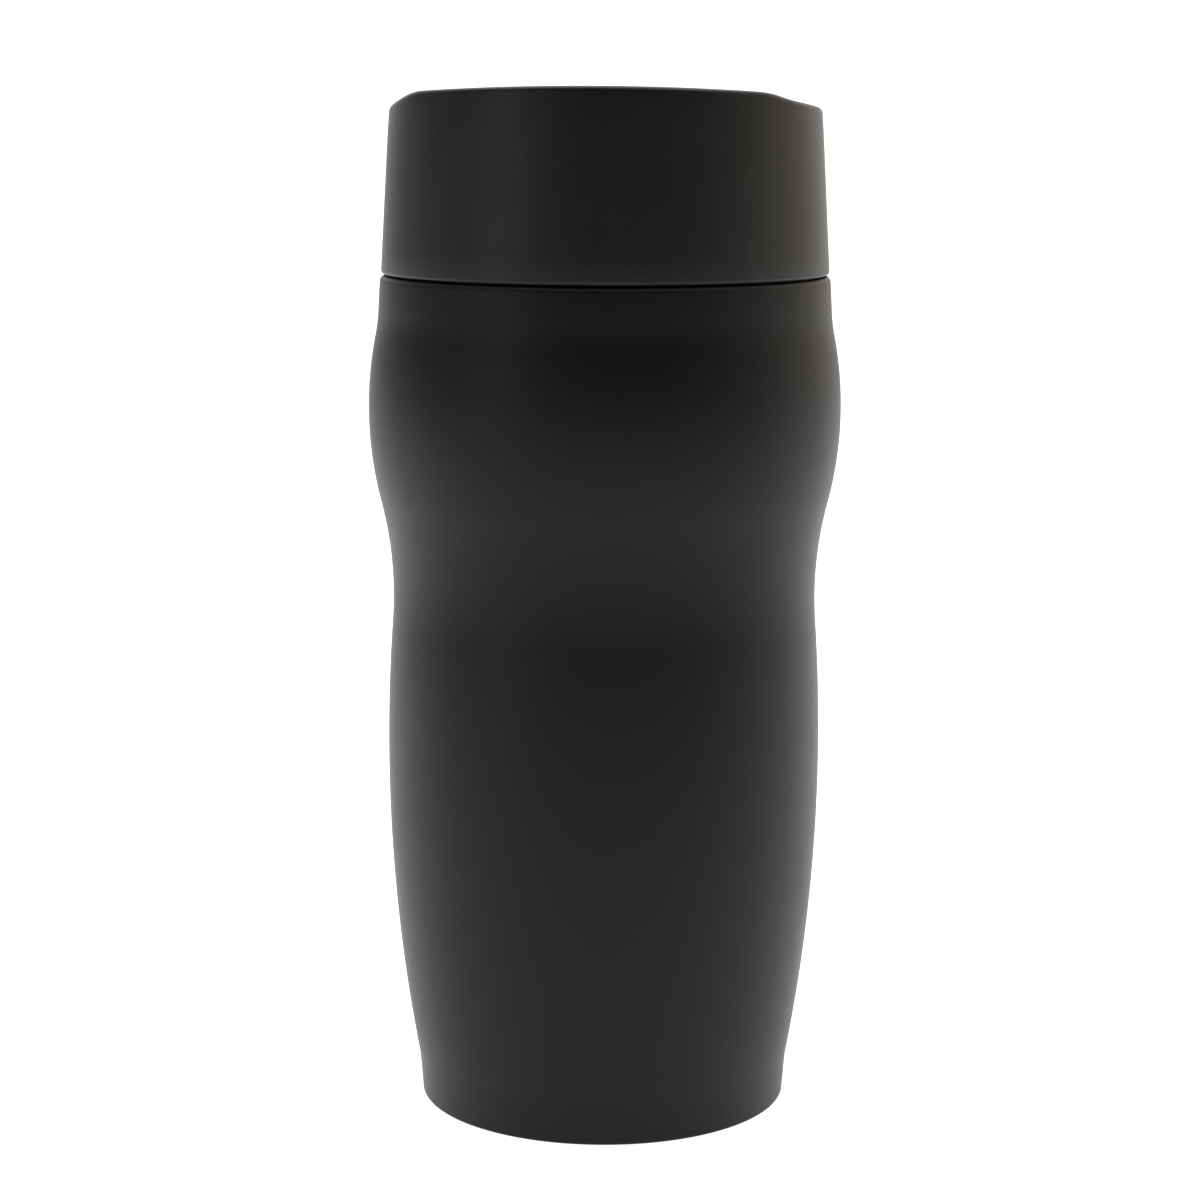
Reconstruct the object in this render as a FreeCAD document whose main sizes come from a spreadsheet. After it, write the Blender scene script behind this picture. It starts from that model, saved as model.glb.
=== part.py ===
import FreeCAD, Part
import math
import os
import Sketcher

# Insulated tumbler with a screw-in lid. Millimetres, +Z up, origin on the axis at the foot's face.
# +X is the drinking side, -X the thumb side; the whole object mirrors about the XZ plane.
# Inside the lid a thumb button pushes a rocker, and the rocker lifts a plug off its seat.

V = FreeCAD.Vector
NEAR = 0.02  # how close an edge lies to the surface that it is picked by
doc = FreeCAD.newDocument("InsulatedTumbler")
dims = doc.addObject("Spreadsheet::Sheet", "dims")

SIZES = [
    # allowances
    ("overcut", "3", "how far a cutter runs past the face it opens"),
    ("bond", "0.1", "overlap that joins two features of one piece"),
    ("fit_gap", "0.1", "gap round a part that sits in another"),
    ("snug", "0.05", "gap round a part that is pressed into another"),
    # body shell, outside
    ("foot_z", "0.2", "lower edge of the outer wall above the table"),
    ("foot_r", "35.5", "radius at the foot"),
    ("foot_hem_r", "33.0", "inner radius of the hem under the foot"),
    ("foot_corner", "0.6", "corner radius at the foot"),
    ("kink_z", "7.8", "top of the base band"),
    ("belly_r", "41.7", "greatest radius of the lower body"),
    ("belly_z", "69.0", "height of the belly"),
    ("belly_round", "335.5", "arc of the belly, seen from the side"),
    ("waist_round", "71.9", "arc of the waist"),
    ("bulge_r", "44.97", "greatest radius of the upper bulge"),
    ("bulge_z", "134.8", "height of the bulge"),
    ("bulge_round", "71.0", "arc of the bulge"),
    ("flare_round", "30", "hollow arc between bulge and neck band"),
    ("seam_r", "42.6", "radius at the mouth, corner not rounded"),
    ("mouth_z", "160.2", "top face of the body"),
    ("taper", "0.057", "radius lost per mm of height, neck band and lid"),
    ("mouth_corner", "1.3", "corner radius at the mouth"),
    ("wall_t", "0.8", "outer wall thickness"),
    ("weld_r", "41.0", "radius where liner and outer wall meet"),
    # liner
    ("liner_t", "0.6", "liner thickness"),
    ("neck_r", "37.8", "inside radius of the neck"),
    ("liner_lip", "0.5", "corner radius at the liner's mouth"),
    ("liner_bend", "1.0", "bend radius under the liner's flange"),
    ("neck_end_z", "139", "lower end of the neck"),
    ("shoulder_z", "130", "lower end of the liner's shoulder"),
    ("liner_r", "36.2", "inside radius of the liner"),
    ("liner_taper_z", "46", "where the liner starts to narrow"),
    ("liner_low_r", "33.0", "inside radius at the foot of the liner"),
    ("floor_z", "13.0", "inside floor"),
    ("floor_round", "7.0", "inside corner at the floor"),
    ("floor_weld_r", "24.0", "radius of the floor disc"),
    ("dome_r", "11.0", "radius of the stamped ring in the floor"),
    ("dome_h", "0.8", "height of the stamped ring"),
    ("dome_slope", "2", "width of the stamped ring's slope"),
    # foot
    ("cup_z", "5.8", "upper face of the vacuum base"),
    ("cup_t", "0.8", "thickness of the vacuum base"),
    ("cup_flange_z", "3.6", "lower edge of the vacuum base's flange"),
    ("seal_well_r", "5.0", "radius of the evacuation well"),
    ("seal_hole_r", "0.8", "radius of the evacuation hole"),
    ("bead_r", "2.4", "radius of the glass bead that closes it"),
    ("bead_rise", "0.3", "how much the bead thins towards its edge"),
    ("cover_z", "1.0", "underside of the base cover"),
    ("cover_t", "1.0", "thickness of the base cover"),
    ("cover_r", "33.6", "radius of the base cover"),
    ("cover_wall_h", "1.0", "height of the cover's ribs and rims"),
    ("cover_ring_r", "8.0", "radius of the cover's inner rim"),
    ("cover_rib_t", "1.0", "thickness of a cover rib"),
    ("pad_r", "32.5", "radius of the foot pad"),
    ("pad_edge", "0.5", "rounding of the pad's edge"),
    ("pad_hollow_r", "16", "radius of the hollow under the pad"),
    ("pad_hollow_h", "0.5", "depth of that hollow"),
    ("pad_ring_r", "21", "outer radius of the pad's innermost ring"),
    ("pad_ring_pitch", "4", "distance from one ring to the next"),
    ("pad_groove_w", "1", "width of the groove between two rings"),
    ("pad_groove_h", "0.4", "depth of that groove"),
    ("getter_r", "4.0", "radius of the getter"),
    ("getter_rim", "1.2", "width of the getter's rim"),
    ("getter_t", "1.2", "thickness of the getter"),
    ("getter_x", "18", "getter's distance from the axis"),
    ("foil_t", "0.15", "foil thickness"),
    ("foil_low_z", "48", "lower edge of the foil"),
    ("foil_top_z", "128", "upper edge of the foil"),
    # screw thread: two starts, one lead of rise per turn
    ("lead", "9.0", "rise of the lid per turn"),
    ("rib_root", "0.95", "half width of a thread rib at its root"),
    ("rib_tip", "0.45", "half width of a thread rib at its crest"),
    ("rib_bury", "0.3", "how deep a rib starts inside its wall"),
    ("liner_crest_r", "36.85", "crest radius of the ribs in the neck"),
    ("core_crest_r", "37.45", "crest radius of the ribs on the plug"),
    ("liner_rib_z", "149.5", "start of the first rib in the neck"),
    ("liner_rib_h", "6.0", "height climbed by a rib in the neck"),
    ("core_rib_z", "147.25", "start of the first rib on the plug"),
    ("core_rib_h", "7.0", "height climbed by a rib on the plug"),
    # lid core, the threaded plug
    ("core_z", "143.5", "underside of the plug"),
    ("core_r", "36.5", "plug radius"),
    ("core_t", "2.0", "plug wall and floor thickness"),
    ("core_chamfer", "1.2", "chamfer round the plug's foot"),
    ("flange_z", "161.95", "underside of the plug's flange"),
    ("flange_t", "1.85", "flange thickness"),
    ("flange_r", "40.2", "flange radius"),
    # gasket
    ("gasket_gap", "0.12", "gap above and below the gasket"),
    ("gasket_in_r", "36.65", "gasket inner radius"),
    ("gasket_heel_r", "38.1", "outer radius of the gasket's heel"),
    ("gasket_lip_r", "39.0", "radius of the gasket's lip"),
    ("gasket_out_r", "39.3", "gasket outer radius"),
    ("gasket_bevel", "0.3", "width of the bevels beside the heel and the lip"),
    ("gasket_groove_z", "160.7", "top of the groove between heel and lip"),
    ("gasket_lip_z", "160.6", "top of the lip's bevel"),
    # lid shell
    ("lid_z", "160.5", "lower edge of the lid shell"),
    ("lid_r", "42.43", "outer radius at the lower edge"),
    ("lid_top_z", "196", "height the shell is turned to before its rim is cut"),
    ("lid_foot_in_r", "39.5", "snap lip under the flange"),
    ("snap_fall", "0.2", "fall of the snap lip's upper face"),
    ("lid_groove_r", "40.4", "groove that holds the flange"),
    ("lid_in_r", "38.9", "inside radius above the groove"),
    ("lip_z", "189", "ledge that stops the deck"),
    ("lip_r", "37.7", "inside radius just above the ledge"),
    ("rim_in_r", "38.15", "inside radius at the rim"),
    ("rim_round", "1.0", "rounding along the rim"),
    ("rim_reach", "4.0", "most that one edge of the rim climbs"),
    ("lid_foot_round", "0.5", "rounding along the lower edge"),
    # the wave of the rim, seen from the front
    ("crown_x", "-3.5", "where the crown is highest"),
    ("crown_z", "195.0", "height of the crown"),
    ("crown_round", "560", "arc of the crown"),
    ("notch_x", "33.0", "thumb-side end of the crown"),
    ("notch_round", "10", "convex arc that leads into the thumb notch"),
    ("notch_fall", "0.49", "slope of the thumb notch"),
    ("scoop_x", "27.0", "drinking-side end of the crown"),
    ("scoop_round", "17.5", "convex arc that leads into the scoop"),
    ("scoop_fall", "0.32", "steepest slope of the scoop"),
    ("scoop_hollow", "30", "hollow arc of the scoop"),
    ("scoop_lip_fall", "0.19", "slope of the scoop at the drinking edge"),
    ("wave_x", "46", "half width of the rim cutter"),
    # deck
    ("deck_z", "185.5", "upper face of the deck"),
    ("deck_t", "2.0", "deck thickness"),
    ("deck_r", "38.8", "deck radius"),
    ("deck_flat_r", "32.4", "radius where the flat deck turns up"),
    ("skirt_z", "165.6", "lower edge of the deck's skirt"),
    ("skirt_in_r", "37.0", "inside radius of the skirt"),
    ("slot_x", "28.5", "drink slot's distance from the axis"),
    ("slot_half_x", "2.6", "half the slot's width"),
    ("slot_half_y", "8.0", "half the slot's length"),
    ("bezel_w", "1.2", "width of the slot's bezel"),
    ("bezel_h", "0.5", "height of the bezel above the deck"),
    ("bezel_t", "0.7", "wall of the bezel's sleeve"),
    ("bezel_drop", "0.5", "how far the sleeve reaches below the deck"),
    ("air_x", "8.0", "air hole's distance from the axis"),
    ("air_r", "1.2", "air hole radius"),
    # button
    ("arm", "22.0", "distance from the pivot to button and plug"),
    ("travel", "3.5", "button travel"),
    ("well_half_x", "6.8", "half the button well's width"),
    ("well_half_y", "11.3", "half the button well's length"),
    ("well_t", "1.4", "wall of the button well"),
    ("well_z", "177.5", "underside of the button well"),
    ("well_floor_z", "178.7", "floor of the button well"),
    ("seal_bore_r", "4.0", "hole in the well floor"),
    ("button_half_x", "6.5", "half the button's width"),
    ("button_half_y", "11.0", "half the button's length"),
    ("button_top_z", "188.6", "top of the button at rest"),
    ("button_skirt_z", "182.6", "lower edge of the button's skirt"),
    ("button_wall", "1.4", "button wall thickness"),
    ("button_roof_z", "186.9", "underside of the button's top"),
    ("stem_r", "2.4", "button stem radius"),
    ("stem_tip_z", "175.5", "lower end of the button stem"),
    ("recess_t", "0.5", "depth of the recess in the button's top"),
    ("recess_rim", "1.6", "width of the button's rim round that recess"),
    ("grip_t", "0.4", "thickness of the pad in the recess"),
    ("ridge_pitch", "3.2", "distance from one ridge of the pad to the next"),
    ("ridge_half_x", "2.6", "half the length of a ridge"),
    ("ridge_half_y", "0.6", "half the width of a ridge"),
    ("ridge_t", "0.4", "height of a ridge, with its overlap in the pad"),
    ("seal_squeeze", "0.02", "gap between the stem seal and its bore"),
    ("seal_slip", "0.12", "gap between the stem and its seal"),
    ("clip_z", "176.4", "underside of the stem clip"),
    ("clip_t", "0.7", "clip thickness"),
    ("clip_r", "4.0", "clip radius"),
    ("clip_gap_half", "1.2", "half the clip's opening"),
    ("wire_r", "0.3", "spring wire radius"),
    ("coil_r", "4.75", "spring coil radius"),
    ("coil_turns", "4.5", "turns of the spring"),
    # rocker
    ("pivot_z", "173.5", "height of the rocker's axis"),
    ("boss_r", "3.6", "rocker boss radius"),
    ("nose_r", "1.7", "radius of the rocker's noses"),
    ("bar_half", "1.1", "half the rocker bar's depth"),
    ("rocker_half_y", "5.2", "half the rocker's width"),
    ("fork_half_y", "2.4", "half the fork's gap"),
    ("fork_len", "5", "reach of the fork each side of the plug's stem"),
    ("fork_root", "2", "full-width part behind the fork"),
    ("toe_len", "3.5", "full-width part at the button end"),
    ("boss_flat", "1", "full-width part beside the boss"),
    ("waist_half_y", "3.2", "half width of the slim part of the bar"),
    ("pin_r", "1.5", "rocker pin radius"),
    ("pin_play", "0.05", "rocker bore's clearance on the pin"),
    ("pin_head_t", "0.8", "thickness and overhang of a pin head"),
    ("pin_tail", "0.4", "how far the pin stands out of its heads"),
    ("cheek_in", "5.6", "inner face of a bracket cheek"),
    ("cheek_t", "1.8", "cheek thickness"),
    ("cheek_r", "4.4", "radius of a cheek's top"),
    ("bracket_half_x", "6.0", "half the bracket foot's width"),
    ("bracket_half_y", "13.5", "half the bracket foot's length"),
    ("bracket_t", "1.6", "bracket foot thickness"),
    ("screw_y", "10.6", "bracket screws' distance from the middle"),
    ("screw_r", "1.0", "screw shank radius"),
    ("screw_head_r", "1.9", "screw head radius"),
    ("screw_head_t", "1.2", "screw head height"),
    ("screw_len", "7.0", "screw length below its head"),
    ("drive_t", "0.7", "depth of a screw's slot"),
    ("drive_half", "0.25", "half the width of a screw's slot"),
    # tray and drink duct
    ("tray_z", "162.2", "underside of the tray"),
    ("tray_top_z", "164.0", "upper face of the tray"),
    ("tray_r", "34.4", "tray radius inside the plug"),
    ("tray_rim_r", "36.9", "tray rim radius"),
    ("tray_rim_z", "165.2", "top of the tray rim"),
    ("tray_flare", "1.2", "width of the slope inside the tray rim"),
    ("duct_r", "6.0", "bore of the drink duct"),
    ("duct_t", "1.5", "duct wall"),
    ("seat_z", "165.6", "seat at the top of the duct"),
    ("vent_x", "11.0", "vent tube's distance from the axis"),
    ("vent_r", "1.5", "bore of the vent tube"),
    ("vent_t", "1.3", "vent tube wall"),
    ("hub_z", "152", "underside of the guide hub in the duct"),
    ("hub_h", "6", "height of the guide hub"),
    ("hub_r", "3.4", "radius of the guide hub"),
    ("hub_bore", "2.2", "bore of the guide hub"),
    ("vane_half", "0.6", "half thickness of a guide vane"),
    ("vane_root", "0.5", "how deep a vane runs into the duct wall"),
    ("post_r", "2.6", "radius of a screw post"),
    ("post_z", "156", "lower end of a screw post"),
    # drink plug
    ("plug_r", "8.0", "drink plug radius"),
    ("plug_z", "166.6", "underside of the drink plug's disc"),
    ("plug_t", "1.8", "disc thickness"),
    ("plug_stem_r", "2.0", "drink plug stem radius"),
    ("plug_top_z", "177.0", "top of the stem"),
    ("pilot_r", "1.9", "pilot pin radius"),
    ("pilot_z", "150.5", "lower end of the pilot pin"),
    ("collar_r", "4.2", "collar radius"),
    ("collar_t", "1.3", "collar thickness"),
    ("collar_gap", "0.3", "play between nose and collar"),
    ("seal_lift", "0.12", "gap between soft face and seat"),
    ("spigot_r", "5.3", "soft spigot radius inside the duct"),
    ("spigot_z", "163.8", "lower end of the spigot"),
    ("seal_proud", "0.2", "how far the soft face stands out past the disc"),
    ("vent_arm_half", "1.6", "half width of the arm that carries the vent plug"),
    ("vent_cap_r", "2.6", "radius of the arm's round end"),
    ("vent_face_r", "2.2", "radius of the vent plug's face"),
    ("vent_nub_r", "1.1", "radius of the vent plug's nub"),
    ("vent_nub_drop", "0.9", "how far the nub reaches into the vent"),
]
DERIVED = [
    # centres and meeting points of the three body arcs
    ("belly_cx", "=belly_r - belly_round"), ("bulge_cx", "=bulge_r - bulge_round"),
    ("span_low", "=belly_round + waist_round"), ("span_high", "=bulge_round + waist_round"),
    ("span_x", "=bulge_cx - belly_cx"), ("span_z", "=bulge_z - belly_z"),
    ("span", "=sqrt(span_x * span_x + span_z * span_z)"),
    ("span_along", "=(span_low * span_low - span_high * span_high + span * span) / (2 * span)"),
    ("span_off", "=sqrt(span_low * span_low - span_along * span_along)"),
    ("waist_cx", "=belly_cx + (span_along * span_x + span_off * span_z) / span"),
    ("waist_cz", "=belly_z + (span_along * span_z - span_off * span_x) / span"),
    ("low_dx", "=(waist_cx - belly_cx) / span_low"), ("low_dz", "=(waist_cz - belly_z) / span_low"),
    ("high_dx", "=(waist_cx - bulge_cx) / span_high"), ("high_dz", "=(waist_cz - bulge_z) / span_high"),
    ("low_x", "=belly_cx + low_dx * belly_round"), ("low_z", "=belly_z + low_dz * belly_round"),
    ("high_x", "=bulge_cx + high_dx * bulge_round"), ("high_z", "=bulge_z + high_dz * bulge_round"),
    ("low_in_x", "=low_x - low_dx * wall_t"), ("low_in_z", "=low_z - low_dz * wall_t"),
    ("high_in_x", "=high_x - high_dx * wall_t"), ("high_in_z", "=high_z - high_dz * wall_t"),
    # neck band: a straight line through the mouth, and the hollow arc that meets the bulge
    ("lean", "=sqrt(1 + taper * taper)"), ("out_x", "=1 / lean"), ("out_z", "=taper / lean"),
    ("bulge_dist", "=(bulge_cx - seam_r) * out_x + (bulge_z - mouth_z) * out_z"),
    ("bulge_along", "=(bulge_z - mouth_z) * out_x - (bulge_cx - seam_r) * out_z"),
    ("flare_along", "=bulge_along + sqrt((bulge_round + flare_round) * (bulge_round + flare_round)"
     " - (flare_round - bulge_dist) * (flare_round - bulge_dist))"),
    ("flare_cx", "=seam_r + flare_round * out_x - flare_along * out_z"),
    ("flare_cz", "=mouth_z + flare_round * out_z + flare_along * out_x"),
    ("flare_dx", "=(flare_cx - bulge_cx) / (bulge_round + flare_round)"),
    ("flare_dz", "=(flare_cz - bulge_z) / (bulge_round + flare_round)"),
    ("flare_x", "=bulge_cx + flare_dx * bulge_round"), ("flare_z", "=bulge_z + flare_dz * bulge_round"),
    ("flare_in_x", "=flare_x - flare_dx * wall_t"), ("flare_in_z", "=flare_z - flare_dz * wall_t"),
    ("band_x", "=flare_cx - flare_round * out_x"), ("band_z", "=flare_cz - flare_round * out_z"),
    ("band_in_x", "=band_x - wall_t * out_x"), ("band_in_z", "=band_z - wall_t * out_z"),
    ("mouth_low_x", "=seam_r + taper * mouth_corner"),
    ("mouth_in_x", "=seam_r + taper * wall_t - wall_t * lean"),
    ("kink_r", "=belly_cx + sqrt(belly_round * belly_round - (belly_z - kink_z) * (belly_z - kink_z))"),
    ("kink_in_r", "=belly_cx + sqrt((belly_round - wall_t) * (belly_round - wall_t)"
     " - (belly_z - kink_z) * (belly_z - kink_z))"),
    ("foot_low_z", "=foot_z + foot_corner"), ("foot_in_r", "=foot_r - wall_t"),
    ("band_slope", "=(kink_in_r - foot_in_r) / (kink_z - foot_low_z)"),
    ("cup_top_r", "=foot_in_r + band_slope * (cup_z - foot_low_z)"),
    ("cup_low_r", "=foot_in_r + band_slope * (cup_flange_z - foot_low_z)"),
    # wave of the rim: tangent arcs, each centre found from the normal where two of them meet
    ("crown_cz", "=crown_z - crown_round"),
    ("scoop_z", "=crown_cz + sqrt(crown_round * crown_round - (scoop_x - crown_x) * (scoop_x - crown_x))"),
    ("scoop_cx", "=scoop_x - (scoop_x - crown_x) * scoop_round / crown_round"),
    ("scoop_cz", "=scoop_z - (scoop_z - crown_cz) * scoop_round / crown_round"),
    ("fall_len", "=sqrt(1 + scoop_fall * scoop_fall)"),
    ("lip_len", "=sqrt(1 + scoop_lip_fall * scoop_lip_fall)"),
    ("turn_x", "=scoop_cx + scoop_round * scoop_fall / fall_len"),
    ("turn_z", "=scoop_cz + scoop_round / fall_len"),
    ("hollow_x", "=turn_x + scoop_hollow * (scoop_fall / fall_len - scoop_lip_fall / lip_len)"),
    ("hollow_z", "=turn_z + scoop_hollow * (1 / fall_len - 1 / lip_len)"),
    ("wave_scoop_z", "=hollow_z - scoop_lip_fall * (wave_x - hollow_x)"),
    ("notch_z", "=crown_cz + sqrt(crown_round * crown_round - (notch_x + crown_x) * (notch_x + crown_x))"),
    ("notch_cx", "=-notch_x + (notch_x + crown_x) * notch_round / crown_round"),
    ("notch_cz", "=notch_z - (notch_z - crown_cz) * notch_round / crown_round"),
    ("notch_len", "=sqrt(1 + notch_fall * notch_fall)"),
    ("knee_x", "=notch_cx - notch_round * notch_fall / notch_len"),
    ("knee_z", "=notch_cz + notch_round / notch_len"),
    ("wave_notch_z", "=knee_z - notch_fall * (wave_x + knee_x)"),
    # lid cone and deck cove
    ("lid_top_r", "=lid_r - taper * (lid_top_z - lid_z)"),
    ("cove_round", "=((lip_r - deck_flat_r) * (lip_r - deck_flat_r) + (lip_z - deck_z) * (lip_z - deck_z))"
     " / (2 * (lip_z - deck_z))"),
    # outside width over the bracket's two cheeks
    ("cheek_span", "=2 * (cheek_in + cheek_t)"),
]
row = 0
for entry in SIZES + [(alias, formula, "") for alias, formula in DERIVED]:
    row += 1
    dims.set("A%d" % row, entry[0])
    dims.set("B%d" % row, entry[1])
    dims.set("C%d" % row, entry[2])
    dims.setAlias("B%d" % row, entry[0])
doc.recompute()


def number(word):
    """One word of a size expression, as a number."""
    return float(word) if word.lstrip("-")[0].isdigit() else float(dims.get(word))


def val(expr):
    """Value of a size expression: words joined by + - * /, products before sums."""
    words = expr.split()
    total, term = 0.0, number(words[0])
    for op, word in zip(words[1::2], words[2::2]):
        if op == "*":
            term *= number(word)
        elif op == "/":
            term /= number(word)
        else:
            total, term = total + term, number(word) if op == "+" else -number(word)
    return total + term


def ref(expr):
    """The same expression, as a formula on the sheet's aliases."""
    return " ".join("dims." + w if w[0].isalpha() else w for w in expr.split())


def less(expr, other):
    """Size expression for expr minus a whole sum."""
    flip = {"+": "-", "-": "+"}
    return expr + " - " + " ".join(flip.get(word, word) for word in other.split())


def body(name):
    made = doc.addObject("PartDesign::Body", name)
    made.Label = name
    return made


def role(made, wanted):
    return [f for f in made.Origin.OriginFeatures if f.Role == wanted][0]


def sketch(made, name, plane="XZ_Plane", height="0"):
    """Empty sketch on one of the body's own planes, raised by a size expression."""
    sk = made.newObject("Sketcher::SketchObject", name)
    sk.AttachmentSupport = (role(made, plane), [""])
    sk.MapMode = "FlatFace"
    if height != "0":
        sk.AttachmentOffset = FreeCAD.Placement(V(0, 0, val(height)), FreeCAD.Rotation())
        sk.setExpression(".AttachmentOffset.Base.z", ref(height))
    return sk


def bind(sk, limits):
    """Adds constraints in one go; the ones with an expression are named and driven by the sheet."""
    placed = sk.addConstraint([limit for limit, expr in limits])
    for index, (limit, expr) in zip(placed, limits):
        if expr:
            label = "size_%d" % index
            sk.renameConstraint(index, label)
            sk.setExpression("Constraints." + label, ref(expr))


def at(geo, point, x, y):
    """Constraints that put one sketch point at (x, y); a plain 0 puts it on the axis instead."""
    made = []
    for expr, kind, axis in ((x, "DistanceX", -2), (y, "DistanceY", -1)):
        if expr == "0":
            made.append((Sketcher.Constraint("PointOnObject", geo, point, axis), None))
        else:
            made.append((Sketcher.Constraint(kind, -1, 1, geo, point, val(expr)), expr))
    return made


def outline(sk, stops):
    """Closed loop of lines and arcs. A stop is (x, y), or (x, y, radius, side) when the way to the
    next stop is an arc that bulges to the left "L" or right "R" of the way."""
    spots = [V(val(s[0]), val(s[1]), 0) for s in stops]
    ends, limits = [], []
    for i, stop in enumerate(stops):
        a, b = spots[i], spots[(i + 1) % len(stops)]
        if len(stop) == 2:
            ends.append((sk.addGeometry(Part.LineSegment(a, b), False), 1, 2))
            continue
        radius, left = val(stop[2]), stop[3] == "L"
        half = b.sub(a).Length / 2
        side = V(a.y - b.y, b.x - a.x, 0).normalize()
        depth = math.sqrt(max(radius * radius - half * half, 0)) * (-1 if left else 1)
        mid = a.add(b).multiply(0.5).add(side.multiply(depth))
        first, last = (b, a) if left else (a, b)
        turn = [math.atan2(p.y - mid.y, p.x - mid.x) for p in (first, last)]
        arc = Part.ArcOfCircle(Part.Circle(mid, V(0, 0, 1), radius), turn[0], turn[1])
        geo = sk.addGeometry(arc, False)
        ends.append((geo, 2, 1) if left else (geo, 1, 2))
        limits.append((Sketcher.Constraint("Radius", geo, radius), stop[2]))
    for i, stop in enumerate(stops):
        before = ends[i - 1]
        limits.append((Sketcher.Constraint("Coincident", before[0], before[2], *ends[i][:2]), None))
        limits += at(ends[i][0], ends[i][1], stop[0], stop[1])
    bind(sk, limits)
    return sk


def circle(sk, x, y, r):
    geo = sk.addGeometry(Part.Circle(V(val(x), val(y), 0), V(0, 0, 1), val(r)), False)
    bind(sk, at(geo, 3, x, y) + [(Sketcher.Constraint("Radius", geo, val(r)), r)])
    return sk


def stadium(sk, x, half_x, half_y):
    """Two half circles of radius half_x joined by straight sides, lengthwise along y."""
    cx, r, k = val(x), val(half_x), val(half_y) - val(half_x)
    top = sk.addGeometry(Part.ArcOfCircle(Part.Circle(V(cx, k, 0), V(0, 0, 1), r), 0, math.pi), False)
    low = sk.addGeometry(Part.ArcOfCircle(Part.Circle(V(cx, -k, 0), V(0, 0, 1), r), math.pi, 2 * math.pi),
                         False)
    left = sk.addGeometry(Part.LineSegment(V(cx - r, k, 0), V(cx - r, -k, 0)), False)
    right = sk.addGeometry(Part.LineSegment(V(cx + r, -k, 0), V(cx + r, k, 0)), False)
    limits = [(Sketcher.Constraint("Tangent", *pair), None) for pair in
              ((top, 2, left, 1), (left, 2, low, 1), (low, 2, right, 1), (right, 2, top, 1))]
    limits += [(Sketcher.Constraint("Equal", top, low), None),
               (Sketcher.Constraint("Radius", top, r), half_x)]
    limits += at(top, 3, x, less(half_y, half_x)) + at(low, 3, x, less(half_x, half_y))
    bind(sk, limits)
    return sk


def box(sk, x0, y0, x1, y1):
    return outline(sk, [(x0, y0), (x1, y0), (x1, y1), (x0, y1)])


def turned(name, stops, plane="XZ_Plane"):
    """Body turned about Z from an outline in an upright plane."""
    made = body(name)
    sk = outline(sketch(made, name + "_outline", plane), stops)
    spun = made.newObject("PartDesign::Revolution", name + "_turned")
    spun.Profile = sk
    spun.ReferenceAxis = (sk, ["V_Axis"])
    spun.Angle = 360
    return made


def prism(made, kind, name, sk, length, across=False):
    """Pad or Pocket along the plane's normal, or evenly to both sides of the plane."""
    feature = made.newObject("PartDesign::" + kind, name)
    feature.Profile = sk
    feature.setExpression("Length", ref(length))
    if across:
        feature.SideType = "Symmetric"
    else:
        feature.Reversed = kind == "Pocket"
    return feature


def grow(made, name, sk, length, across=False):
    return prism(made, "Pad", name, sk, length, across)


def cut(made, name, sk, length, across=False):
    return prism(made, "Pocket", name, sk, length, across)


def around(made, name, feature, count):
    """Repeats a feature evenly about Z."""
    ring = made.newObject("PartDesign::PolarPattern", name)
    ring.Originals = [feature]
    ring.Axis = (role(made, "Z_Axis"), [""])
    ring.Angle = 360
    ring.Occurrences = count
    made.Tip = ring
    return ring


def thread(made, name, wall, crest, start, rise):
    """Two-start rib of trapezoid section, from just inside the wall to its crest."""
    sk = outline(sketch(made, name + "_section"), [
        (wall, start + " - rib_root"), (crest, start + " - rib_tip"),
        (crest, start + " + rib_tip"), (wall, start + " + rib_root")])
    rib = made.newObject("PartDesign::AdditiveHelix", name + "_rib")
    rib.Profile = sk
    rib.ReferenceAxis = (sk, ["V_Axis"])
    rib.Mode = 0
    rib.setExpression("Pitch", ref("lead"))
    rib.setExpression("Height", ref(rise))
    rib.LeftHanded = False
    return around(made, name + "_starts", rib, 2)


def soften(made, name, radius, wanted):
    """Rounds every edge of the body so far whose middle passes the test."""
    doc.recompute()
    base = made.Tip
    edges = ["Edge%d" % (i + 1) for i, e in enumerate(base.Shape.Edges)
             if wanted(e.valueAt((e.FirstParameter + e.LastParameter) / 2), e)]
    rounded = made.newObject("PartDesign::Fillet", name)
    rounded.Base = (base, edges)
    rounded.setExpression("Radius", ref(radius))
    return rounded


# ---- vessel: outer wall, vacuum parts, liner -------------------------------------------------

turned("outer_wall", [
    ("foot_hem_r", "foot_z"), ("foot_r - foot_corner", "foot_z", "foot_corner", "R"),
    ("foot_r", "foot_low_z"), ("kink_r", "kink_z", "belly_round", "R"),
    ("low_x", "low_z", "waist_round", "L"), ("high_x", "high_z", "bulge_round", "R"),
    ("flare_x", "flare_z", "flare_round", "L"), ("band_x", "band_z"),
    ("mouth_low_x", "mouth_z - mouth_corner", "mouth_corner", "R"),
    ("seam_r - mouth_corner", "mouth_z"), ("weld_r", "mouth_z"), ("weld_r", "mouth_z - wall_t"),
    ("mouth_in_x", "mouth_z - wall_t"), ("band_in_x", "band_in_z", "flare_round + wall_t", "R"),
    ("flare_in_x", "flare_in_z", "bulge_round - wall_t", "L"),
    ("high_in_x", "high_in_z", "waist_round + wall_t", "R"),
    ("low_in_x", "low_in_z", "belly_round - wall_t", "L"), ("kink_in_r", "kink_z"),
    ("foot_in_r", "foot_low_z"), ("foot_in_r", "foot_z + wall_t"), ("foot_hem_r", "foot_z + wall_t")])

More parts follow.
